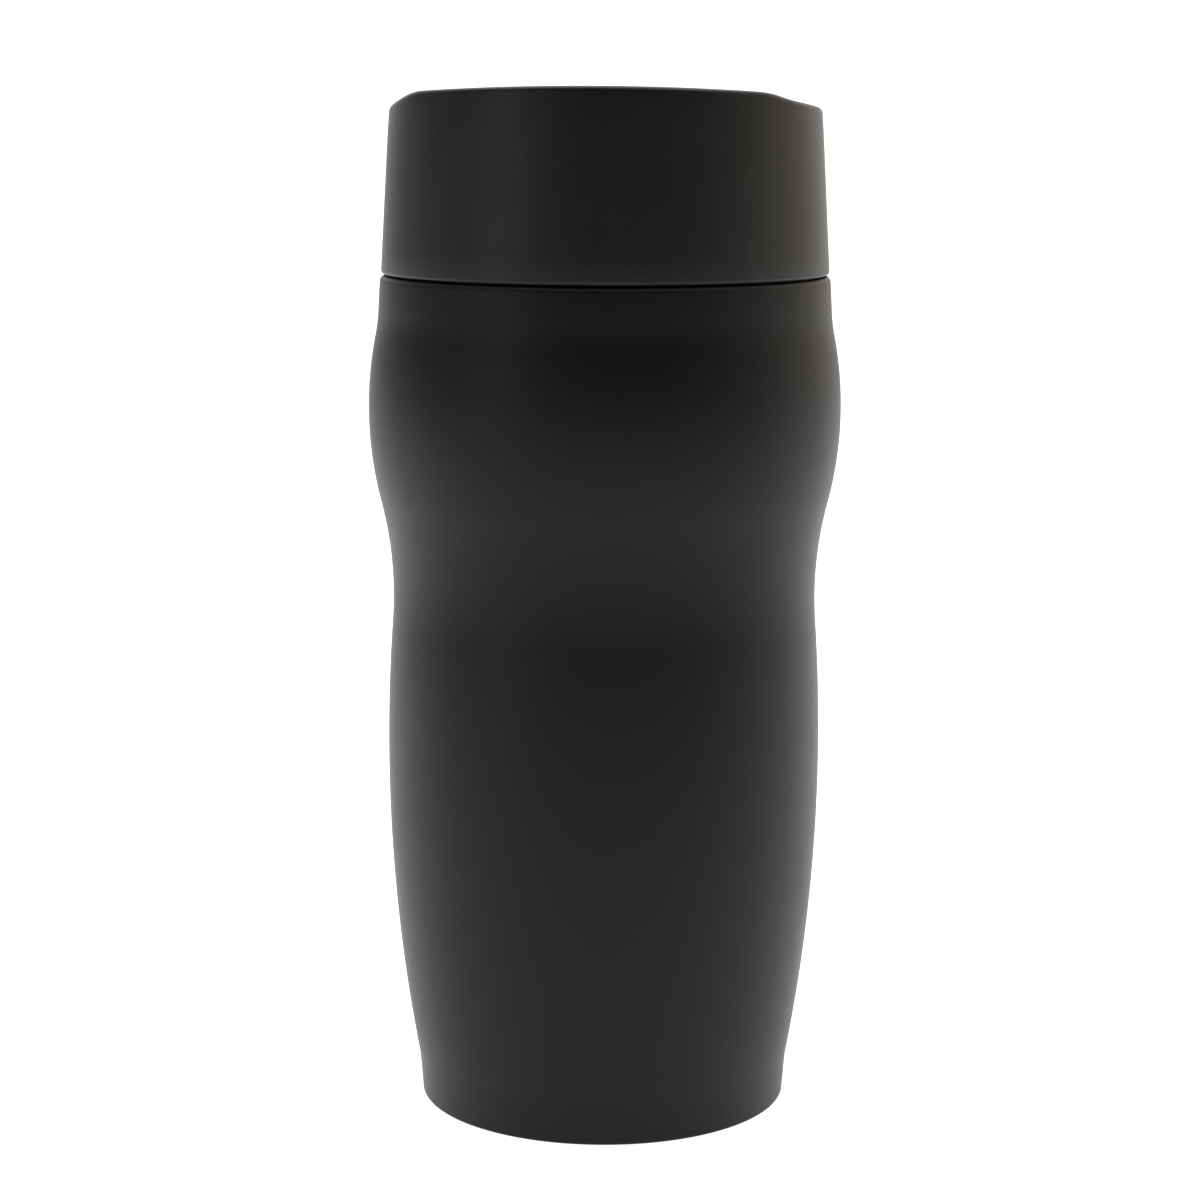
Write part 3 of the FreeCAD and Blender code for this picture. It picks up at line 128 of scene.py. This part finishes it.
def body_outline():
    """Closed section of the outer wall: up the outside, over the mouth, down the inside."""
    corner = FOOT["corner"]
    section = [(FOOT["hem_r"], FOOT["z"])]
    section += arc((FOOT["r"] - corner, FOOT["z"] + corner), corner, (FOOT["r"] - corner, FOOT["z"]),
                   (FOOT["r"], FOOT["z"] + corner), 6)
    section += body_side(0.0)
    edge = MOUTH["corner"]
    middle = (MOUTH["r"] + edge * (TAPER - LEAN), MOUTH["z"] - edge)
    section += arc(middle, edge, (middle[0] + edge / LEAN, middle[1] + edge * TAPER / LEAN),
                   (middle[0], MOUTH["z"]), 8)
    section += [(WELD_R, MOUTH["z"]), (WELD_R, MOUTH["z"] - WALL)]
    section += list(reversed(body_side(WALL)))
    section += [(FOOT["r"] - WALL, FOOT["z"] + corner), (FOOT["r"] - WALL, FOOT["z"] + WALL),
                (FOOT["hem_r"], FOOT["z"] + WALL)]
    return section


def rim_height(x):
    """Height of the wave-cut rim, in millimetres, at x millimetres from the middle."""
    crown_z = CROWN["z"] - CROWN["round"]

    def crown(at):
        return crown_z + math.sqrt(CROWN["round"] ** 2 - (at - CROWN["x"]) ** 2)

    if x >= SCOOP["x"]:
        share = (SCOOP["x"] - CROWN["x"]) / CROWN["round"]
        start_z = crown(SCOOP["x"])
        cx = SCOOP["x"] - share * SCOOP["round"]
        cz = start_z - (start_z - crown_z) * SCOOP["round"] / CROWN["round"]
        steep, lip = math.atan(SCOOP["fall"]), math.atan(SCOOP["lip_fall"])
        turn_x, turn_z = cx + SCOOP["round"] * math.sin(steep), cz + SCOOP["round"] * math.cos(steep)
        if x <= turn_x:
            return cz + math.sqrt(SCOOP["round"] ** 2 - (x - cx) ** 2)
        hx, hz = turn_x + SCOOP["hollow"] * math.sin(steep), turn_z + SCOOP["hollow"] * math.cos(steep)
        end_x, end_z = hx - SCOOP["hollow"] * math.sin(lip), hz - SCOOP["hollow"] * math.cos(lip)
        if x <= end_x:
            return hz - math.sqrt(SCOOP["hollow"] ** 2 - (x - hx) ** 2)
        return end_z - SCOOP["lip_fall"] * (x - end_x)
    if x <= -NOTCH["x"]:
        share = (NOTCH["x"] + CROWN["x"]) / CROWN["round"]
        start_z = crown(-NOTCH["x"])
        cx = -NOTCH["x"] + share * NOTCH["round"]
        cz = start_z - (start_z - crown_z) * NOTCH["round"] / CROWN["round"]
        fall = math.atan(NOTCH["fall"])
        knee_x, knee_z = cx - NOTCH["round"] * math.sin(fall), cz + NOTCH["round"] * math.cos(fall)
        if x >= knee_x:
            return cz + math.sqrt(NOTCH["round"] ** 2 - (x - cx) ** 2)
        return knee_z - NOTCH["fall"] * (knee_x - x)
    return crown(x)


def lid_outline(angle):
    """Closed section of the lid's shell at one angle round the axis; only the rim depends on it."""
    def outer(z):
        return LID["r"] - TAPER * (z - LID["z"])

    def inner(z):
        return LID["lip_r"] + (LID["rim_in_r"] - LID["lip_r"]) * (z - LID["lip_z"]) / (
            LID["rim_z"] - LID["lip_z"])

    soft = LID_FOOT_ROUND
    middle = (outer(LID["z"] + soft) - soft, LID["z"] + soft)
    section = [(LID["foot_in_r"], LID["z"])]
    section += arc(middle, soft, (middle[0], LID["z"]), (middle[0] + soft, middle[1]), 6)
    top = rim_height(outer(CROWN["z"]) * math.cos(angle))
    for k in range(1, 8):
        z = LID["z"] + soft + (top - RIM_ROUND - LID["z"] - soft) * k / 8
        section.append((outer(z), z))
    for k in range(7):
        swing = math.pi / 2 * k / 6
        r = outer(top) - RIM_ROUND * (1 - math.cos(swing))
        section.append((r, rim_height(r * math.cos(angle)) - RIM_ROUND * (1 - math.sin(swing))))
    for k in range(7):
        swing = math.pi / 2 * k / 6
        r = inner(top) + RIM_ROUND * (1 - math.sin(swing))
        section.append((r, rim_height(r * math.cos(angle)) - RIM_ROUND * (1 - math.cos(swing))))
    section += [(LID["lip_r"], LID["lip_z"]), (LID["in_r"], LID["lip_z"]), (LID["in_r"], LID["in_z"]),
                (LID["groove_r"], LID["in_z"]), (LID["groove_r"], LID["groove_z"]),
                (LID["foot_in_r"], LID["groove_z"] - LID["groove_fall"])]
    return section


def turned(name, outline_at):
    """Closed ring mesh: outline_at(angle) gives the section's (r, z) points in millimetres."""
    count = len(outline_at(0.0))
    points, faces = [], []
    for column in range(COLUMNS):
        angle = 2 * math.pi * column / COLUMNS
        points += [(r * MM * math.cos(angle), r * MM * math.sin(angle), z * MM)
                   for r, z in outline_at(angle)]
        for k in range(count):
            here, there = column * count, (column + 1) % COLUMNS * count
            faces.append((here + k, there + k, there + (k + 1) % count, here + (k + 1) % count))
    mesh = bpy.data.meshes.new(name)
    mesh.from_pydata(points, [], faces)
    mesh.update()
    made = bpy.data.objects.new(name, mesh)
    bpy.context.scene.collection.objects.link(made)
    smooth(made)
    return made


def smooth(thing, degrees=32):
    """Smooth shading that keeps the edges sharper than the given angle."""
    mesh = thing.data
    mesh.shade_smooth()
    mesh.set_sharp_from_angle(angle=math.radians(degrees))


# ---- light of the white sheet, in front of the tumbler and behind it ------------------------------

FLOOR_GLOW = 0.80
BACK_GLOW = 1.25
GLOW_RISE = {"from_y": -0.25, "to_y": 0.15}


# ---- materials ----------------------------------------------------------------------------------

class Recipe:
    """A material under construction: short calls that add nodes and wire them."""

    def __init__(self, name, colour, roughness, metallic=0.0, specular=0.5):
        self.material = bpy.data.materials.new(name)
        self.material.use_nodes = True
        self.tree = self.material.node_tree
        self.shader = self.tree.nodes["Principled BSDF"]
        self.shader.inputs["Base Color"].default_value = (*colour, 1)
        self.shader.inputs["Roughness"].default_value = roughness
        self.shader.inputs["Metallic"].default_value = metallic
        self.shader.inputs["Specular IOR Level"].default_value = specular
        self.place = self.add("ShaderNodeTexCoord").outputs["Object"]

    def add(self, kind, **inputs):
        made = self.tree.nodes.new(kind)
        for key, value in inputs.items():
            self.put(made.inputs[key.replace("_", " ")], value)
        return made

    def put(self, socket, value):
        if isinstance(value, bpy.types.NodeSocket):
            self.tree.links.new(value, socket)
        else:
            socket.default_value = value

    def noise(self, scale, detail=2.0, rough=0.5, place=None):
        made = self.add("ShaderNodeTexNoise", Vector=place or self.place, Scale=scale, Detail=detail,
                        Roughness=rough)
        return made.outputs["Fac"]

    def cells(self, scale):
        return self.add("ShaderNodeTexVoronoi", Vector=self.place, Scale=scale).outputs["Distance"]

    def span(self, value, low, high, to_low, to_high):
        """Maps value from low..high to to_low..to_high, held at the ends."""
        made = self.add("ShaderNodeMapRange")
        for key, number in zip(("Value", "From Min", "From Max", "To Min", "To Max"),
                               (value, low, high, to_low, to_high)):
            self.put(made.inputs[key], number)
        return made.outputs["Result"]

    def math(self, operation, a, b=0.0):
        made = self.tree.nodes.new("ShaderNodeMath")
        made.operation = operation
        self.put(made.inputs[0], a)
        self.put(made.inputs[1], b)
        return made.outputs[0]

    def mix(self, share, a, b):
        made = self.tree.nodes.new("ShaderNodeMix")
        made.data_type = "RGBA"
        self.put(made.inputs["Factor"], share)
        self.put(made.inputs["A"], a)
        self.put(made.inputs["B"], b)
        return made.outputs["Result"]

    def bump(self, height, distance, strength=1.0, under=None):
        made = self.add("ShaderNodeBump", Height=height, Distance=distance, Strength=strength)
        if under is not None:
            self.put(made.inputs["Normal"], under)
        self.put(self.shader.inputs["Normal"], made.outputs["Normal"])
        return made.outputs["Normal"]

    def height_above(self):
        """Height of the point, in metres."""
        return self.add("ShaderNodeSeparateXYZ", Vector=self.place).outputs["Z"]

    def round_place(self, along=1.0, up=1.0):
        """Coordinates that follow a turned part: the way round, the distance out, the height."""
        xyz = self.add("ShaderNodeSeparateXYZ", Vector=self.place).outputs
        angle = self.math("ARCTAN2", xyz["Y"], xyz["X"])
        out = self.math("SQRT", self.math("ADD", self.math("POWER", xyz["X"], 2.0),
                                          self.math("POWER", xyz["Y"], 2.0)))
        return self.add("ShaderNodeCombineXYZ", X=self.math("MULTIPLY", angle, along),
                        Y=self.math("MULTIPLY", out, up),
                        Z=self.math("MULTIPLY", xyz["Z"], up)).outputs["Vector"]

    def colour(self, value):
        self.put(self.shader.inputs["Base Color"], value)

    def rough(self, value):
        self.put(self.shader.inputs["Roughness"], value)


def powder_coat():
    """Black powder coat: soft broad sheen, fine pebble grain, a few pale dust specks."""
    r = Recipe("powder_coat", (0.004, 0.004, 0.0044), 0.44, specular=0.20)
    grain = r.noise(5200, 2.0, 0.55)
    swell = r.noise(900, 2.0)
    cloud = r.noise(42, 3.0)
    r.rough(r.span(cloud, 0.3, 0.7, 0.425, 0.46))
    tint = r.mix(r.span(cloud, 0.3, 0.7, 0.0, 1.0), (0.0034, 0.0034, 0.0038, 1),
                 (0.0046, 0.0045, 0.0050, 1))
    dust = r.span(r.cells(150), 0.012, 0.020, 1.0, 0.0)
    rare = r.span(r.noise(60, 0.0), 0.68, 0.70, 0.0, 1.0)
    speck = r.math("MULTIPLY", dust, rare)
    worn = r.math("MULTIPLY", r.span(r.height_above(), 0.0002, 0.0005, 0.2, 0.0),
                  r.span(r.noise(700, 3.0), 0.52, 0.62, 0.0, 1.0))
    r.colour(r.mix(r.math("MAXIMUM", speck, worn), tint, (0.10, 0.10, 0.105, 1)))
    low = r.bump(swell, 0.00004, 0.35)
    r.bump(grain, 0.00002, 0.5, low)
    return r.material


def lid_plastic():
    """Black moulded plastic with a spark-eroded grain, a little warmer and smoother than the coat."""
    r = Recipe("lid_plastic", (0.006, 0.0056, 0.0052), 0.42, specular=0.28)
    cloud = r.noise(35, 3.0)
    flow = r.noise(1.0, 3.0, place=r.round_place(9.0, 120.0))
    r.rough(r.span(cloud, 0.3, 0.7, 0.40, 0.44))
    r.colour(r.mix(r.span(flow, 0.35, 0.65, 0.0, 1.0), (0.0056, 0.0052, 0.0049, 1),
                   (0.0068, 0.0063, 0.0059, 1)))
    low = r.bump(r.cells(2600), 0.00003, 0.25)
    r.bump(r.noise(6400, 2.0, 0.6), 0.00002, 0.45, low)
    return r.material


def trim_plastic():
    """Slightly glossier black plastic of the button and the slot's frame."""
    r = Recipe("trim_plastic", (0.010, 0.010, 0.011), 0.34)
    cloud = r.noise(90, 3.0)
    r.rough(r.span(cloud, 0.3, 0.7, 0.30, 0.38))
    r.colour(r.mix(r.span(r.noise(400, 2.0), 0.4, 0.6, 0.0, 1.0), (0.009, 0.009, 0.010, 1),
                   (0.013, 0.013, 0.014, 1)))
    r.bump(r.noise(5200, 2.0), 0.000015, 0.35)
    return r.material


def inner_plastic():
    """Dark grey moulded plastic of the plug, tray and base cover, with faint flow marks."""
    r = Recipe("inner_plastic", (0.045, 0.045, 0.048), 0.40)
    flow = r.noise(1.0, 4.0, place=r.round_place(6.0, 260.0))
    r.rough(r.span(r.noise(120, 3.0), 0.3, 0.7, 0.34, 0.46))
    r.colour(r.mix(r.span(flow, 0.35, 0.65, 0.0, 1.0), (0.040, 0.040, 0.043, 1), (0.052, 0.052, 0.055, 1)))
    low = r.bump(flow, 0.00004, 0.2)
    r.bump(r.noise(4200, 2.0), 0.00002, 0.35, low)
    return r.material


def natural_plastic():
    """Unpigmented acetal: waxy off-white, with scuffs where it rubs."""
    r = Recipe("natural_plastic", (0.66, 0.64, 0.58), 0.36)
    scuff = r.span(r.noise(900, 4.0, 0.7), 0.60, 0.72, 0.0, 1.0)
    r.rough(r.span(r.noise(260, 3.0), 0.3, 0.7, 0.30, 0.45))
    base = r.mix(r.span(r.noise(70, 2.0), 0.3, 0.7, 0.0, 1.0), (0.63, 0.61, 0.55, 1), (0.69, 0.67, 0.61, 1))
    r.colour(r.mix(r.math("MULTIPLY", scuff, 0.35), base, (0.45, 0.43, 0.38, 1)))
    r.bump(r.noise(3000, 2.0), 0.00002, 0.3)
    r.shader.inputs["Subsurface Weight"].default_value = 0.15
    r.shader.inputs["Subsurface Scale"].default_value = 0.002
    return r.material


def turned_steel(name, roughness, colour):
    """Stainless steel with fine marks that run round the axis."""
    r = Recipe(name, colour, roughness, metallic=1.0)
    marks = r.noise(1.0, 6.0, 0.65, place=r.round_place(3.0, 9000.0))
    haze = r.noise(55, 4.0)
    bright = (*colour, 1)
    dull = tuple(c * 0.86 for c in colour) + (1,)
    r.colour(r.mix(r.span(haze, 0.35, 0.65, 0.0, 1.0), bright, dull))
    r.rough(r.math("ADD", r.span(marks, 0.3, 0.7, roughness - 0.06, roughness + 0.08),
                   r.span(haze, 0.3, 0.7, 0.0, 0.05)))
    r.bump(marks, 0.000012, 0.5)
    return r.material


def plain_steel():
    """Rolled and blanked steel of pins, screws, clip and spring."""
    r = Recipe("plain_steel", (0.55, 0.54, 0.52), 0.30, metallic=1.0)
    r.rough(r.span(r.noise(800, 4.0), 0.3, 0.7, 0.22, 0.42))
    r.colour(r.mix(r.span(r.noise(260, 3.0), 0.35, 0.65, 0.0, 1.0), (0.56, 0.55, 0.53, 1),
                   (0.44, 0.43, 0.42, 1)))
    r.bump(r.noise(4200, 3.0), 0.00001, 0.4)
    return r.material


def copper_foil():
    """Thin copper foil, creased where it was wrapped."""
    r = Recipe("copper_foil", (0.82, 0.47, 0.32), 0.26, metallic=1.0)
    crease = r.cells(260)
    r.rough(r.span(r.noise(160, 3.0), 0.3, 0.7, 0.18, 0.36))
    r.colour(r.mix(r.span(r.noise(45, 4.0), 0.35, 0.65, 0.0, 1.0), (0.84, 0.49, 0.34, 1),
                   (0.62, 0.31, 0.20, 1)))
    low = r.bump(crease, 0.00012, 0.4)
    r.bump(r.noise(900, 4.0), 0.00006, 0.3, low)
    return r.material


def sintered_metal():
    """Pressed powder of the getter: dark, dull and porous."""
    r = Recipe("sintered_metal", (0.10, 0.10, 0.10), 0.72, metallic=0.6)
    pores = r.span(r.cells(2600), 0.05, 0.30, 0.0, 1.0)
    r.colour(r.mix(pores, (0.04, 0.04, 0.04, 1), (0.14, 0.14, 0.135, 1)))
    r.rough(r.span(r.noise(900, 3.0), 0.3, 0.7, 0.62, 0.82))
    r.bump(pores, 0.00008, 0.6)
    return r.material


def solder_glass():
    """Greenish-grey solder glass with small bubbles."""
    r = Recipe("solder_glass", (0.24, 0.28, 0.24), 0.16)
    bubbles = r.span(r.cells(1800), 0.08, 0.16, 0.0, 1.0)
    r.colour(r.mix(bubbles, (0.34, 0.38, 0.33, 1), (0.20, 0.24, 0.20, 1)))
    r.rough(r.span(r.noise(600, 2.0), 0.3, 0.7, 0.12, 0.26))
    r.bump(bubbles, 0.00004, 0.3)
    return r.material


def black_rubber():
    """Matte black silicone rubber of the foot and the button's grip, a little dusty."""
    r = Recipe("black_rubber", (0.016, 0.016, 0.016), 0.66, specular=0.4)
    dust = r.span(r.noise(420, 5.0, 0.7), 0.50, 0.75, 0.0, 1.0)
    r.colour(r.mix(dust, (0.014, 0.014, 0.014, 1), (0.034, 0.033, 0.031, 1)))
    r.rough(r.span(dust, 0.0, 1.0, 0.60, 0.78))
    r.bump(r.noise(3600, 2.0), 0.00003, 0.4)
    r.shader.inputs["Sheen Weight"].default_value = 0.15
    return r.material


def grey_silicone():
    """Grey food silicone of the gasket and seals: smooth, faintly waxy."""
    r = Recipe("grey_silicone", (0.15, 0.15, 0.155), 0.48, specular=0.45)
    cloud = r.noise(150, 3.0)
    r.colour(r.mix(r.span(cloud, 0.35, 0.65, 0.0, 1.0), (0.135, 0.135, 0.14, 1), (0.17, 0.17, 0.175, 1)))
    r.rough(r.span(cloud, 0.3, 0.7, 0.42, 0.56))
    r.bump(r.noise(2600, 2.0), 0.00002, 0.3)
    return r.material


def closed_foam():
    """Cream closed-cell foam."""
    r = Recipe("closed_foam", (0.80, 0.77, 0.69), 0.82)
    cell = r.cells(1100)
    r.colour(r.mix(r.span(cell, 0.1, 0.6, 0.0, 1.0), (0.70, 0.66, 0.57, 1), (0.84, 0.81, 0.74, 1)))
    r.rough(r.span(r.noise(500, 2.0), 0.3, 0.7, 0.76, 0.90))
    r.bump(cell, 0.0002, 0.6)
    return r.material


def paper_floor():
    """White studio sheet that glows by itself as if lit from below: painted light, brighter towards the
    back, that keeps its shadows faint; with the faintest tooth.
    """
    r = Recipe("paper_floor", (0.5, 0.5, 0.5), 0.9, specular=0.0)
    r.colour(r.mix(r.noise(30, 4.0), (0.48, 0.48, 0.48, 1), (0.52, 0.52, 0.52, 1)))
    r.shader.inputs["Emission Color"].default_value = (1, 1, 1, 1)
    backwards = r.add("ShaderNodeSeparateXYZ", Vector=r.place).outputs["Y"]
    # painted light: the sheet's own glow, FLOOR_GLOW in front rising to BACK_GLOW behind, fills in the
    # shadows on it
    r.put(r.shader.inputs["Emission Strength"], r.span(backwards, GLOW_RISE["from_y"], GLOW_RISE["to_y"],
                                                           FLOOR_GLOW, BACK_GLOW))
    r.bump(r.noise(1500, 2.0), 0.00003, 0.2)
    return r.material


LINER = (0.63, 0.62, 0.60)
FINISHES = {
    powder_coat(): ["outer_wall"],
    lid_plastic(): ["lid_shell", "lid_deck"],
    trim_plastic(): ["spout_bezel", "thumb_button"],
    inner_plastic(): ["lid_core", "valve_tray", "base_cover"],
    natural_plastic(): ["rocker_bracket", "rocker_lever", "drink_plug"],
    turned_steel("liner_steel", 0.24, LINER): ["inner_liner", "inner_bottom"],
    turned_steel("raw_steel", 0.32, (0.56, 0.55, 0.53)): ["outer_bottom"],
    plain_steel(): ["rocker_pin", "bracket_screws", "stem_clip", "return_spring"],
    copper_foil(): ["heat_shield_foil"],
    sintered_metal(): ["getter_disc"],
    solder_glass(): ["vacuum_seal_bead"],
    black_rubber(): ["base_pad", "button_pad"],
    grey_silicone(): ["lid_gasket", "deck_seal", "button_seal", "plug_seal", "vent_plug"],
    closed_foam(): ["lid_insulation"],
}


def wear(thing, material):
    thing.data.materials.clear()
    thing.data.materials.append(material)


for finish, names in FINISHES.items():
    for node_name in names:
        wear(NODES[node_name], finish)
        smooth(NODES[node_name])

# ---- shells -------------------------------------------------------------------------------------

SHELLS = (("body_skin", lambda angle, section=body_outline(): section, "outer_wall", "vessel", "body_coat"),
          ("lid_skin", lid_outline, "lid_shell", "lid", "lid_plastic"))
for name, outline_at, node_name, body_name, slot in SHELLS:
    skin = turned(name, outline_at)
    wear(skin, NODES[node_name].data.materials[0])
    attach(skin, body_name)
    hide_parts(node_name)

# ---- studio -------------------------------------------------------------------------------------

FLOOR_SIZE = 3.0
FLOOR_GAP = 0.0001
CAMERA = {"x": -0.0008, "distance": 0.5494, "height": 0.1897, "fall": 9.52, "roll": 0.18, "lens": 86.5}


def sweep_floor():
    """White sheet under the tumbler."""
    mesh = bpy.data.meshes.new("floor")
    half = FLOOR_SIZE / 2
    mesh.from_pydata([(-half, -half, 0), (half, -half, 0), (half, half, 0), (-half, half, 0)], [],
                     [(0, 1, 2, 3)])
    made = bpy.data.objects.new("floor", mesh)
    made.location.z = cad_low[2] - FLOOR_GAP
    bpy.context.scene.collection.objects.link(made)
    wear(made, paper_floor())


def softbox(name, place, aim, width, height, power):
    lamp = bpy.data.lights.new(name, "AREA")
    lamp.shape = "RECTANGLE"
    lamp.size = width
    lamp.size_y = height
    lamp.energy = power
    made = bpy.data.objects.new(name, lamp)
    made.location = place
    made.rotation_euler = (Vector(aim) - Vector(place)).to_track_quat("-Z", "Y").to_euler()
    bpy.context.scene.collection.objects.link(made)


def surroundings():
    """White room that darkens towards the camera's side, as a white sweep with an open front does.
    It is dimmer on the left and a little warm on the right. What the camera sees behind the
    object stays white from every side."""
    world = bpy.data.worlds.new("studio")
    bpy.context.scene.world = world
    world.use_nodes = True
    tree = world.node_tree
    background = tree.nodes["Background"]

    def ramp(value, low, high, to_low, to_high):
        made = tree.nodes.new("ShaderNodeMapRange")
        made.interpolation_type = "SMOOTHSTEP"
        tree.links.new(value, made.inputs["Value"])
        for key, number in (("From Min", low), ("From Max", high), ("To Min", to_low), ("To Max", to_high)):
            made.inputs[key].default_value = number
        return made.outputs["Result"]

    def combine(operation, a, b):
        made = tree.nodes.new("ShaderNodeMath")
        made.operation = operation
        tree.links.new(a, made.inputs[0])
        tree.links.new(b, made.inputs[1])
        return made.outputs[0]

    place = tree.nodes.new("ShaderNodeTexCoord").outputs["Generated"]
    split = tree.nodes.new("ShaderNodeSeparateXYZ")
    tree.links.new(place, split.inputs["Vector"])
    sideways, backwards = split.outputs["X"], split.outputs["Y"]
    seen = tree.nodes.new("ShaderNodeLightPath").outputs["Is Camera Ray"]
    open_front = ramp(backwards, -0.75, 0.15, 0.03, 1.0)
    bright_back = ramp(backwards, 0.40, 0.90, 1.0, 1.4)
    dim_left = ramp(sideways, -0.85, -0.25, 0.30, 1.0)
    glow = combine("MULTIPLY", combine("MULTIPLY", open_front, bright_back), dim_left)
    tree.links.new(combine("MAXIMUM", glow, seen), background.inputs["Strength"])
    warmth = combine("MULTIPLY", ramp(sideways, 0.2, 0.8, 0.0, 1.0), ramp(seen, 0.0, 1.0, 1.0, 0.0))
    cast = tree.nodes.new("ShaderNodeMix")
    cast.data_type = "RGBA"
    tree.links.new(warmth, cast.inputs["Factor"])
    cast.inputs["A"].default_value = (1, 1, 1, 1)
    cast.inputs["B"].default_value = (1.0, 0.90, 0.76, 1)
    tree.links.new(cast.outputs["Result"], background.inputs["Color"])


def camera():
    """At about lid height, a little above the seam, looking slightly down."""
    lens = bpy.data.cameras.new("camera")
    lens.sensor_width = 36
    lens.lens = CAMERA["lens"]
    lens.clip_start = 0.01
    made = bpy.data.objects.new("camera", lens)
    made.location = (CAMERA["x"], -CAMERA["distance"], CAMERA["height"])
    pitch = Matrix.Rotation(math.pi / 2 - math.radians(CAMERA["fall"]), 4, "X")
    tilt = pitch @ Matrix.Rotation(math.radians(CAMERA["roll"]), 4, "Z")
    made.rotation_euler = tilt.to_euler()
    bpy.context.scene.collection.objects.link(made)
    bpy.context.scene.camera = made


sweep_floor()
softbox("overhead", (0.0, 0.35, 1.3), (0, 0.0, 0), 1.2, 1.2, 12)
softbox("left_front", (-1.0, -0.75, 0.35), (0, 0, 0.12), 0.5, 1.0, 2.0)
surroundings()
camera()
bpy.context.scene.view_settings.view_transform = "Standard"
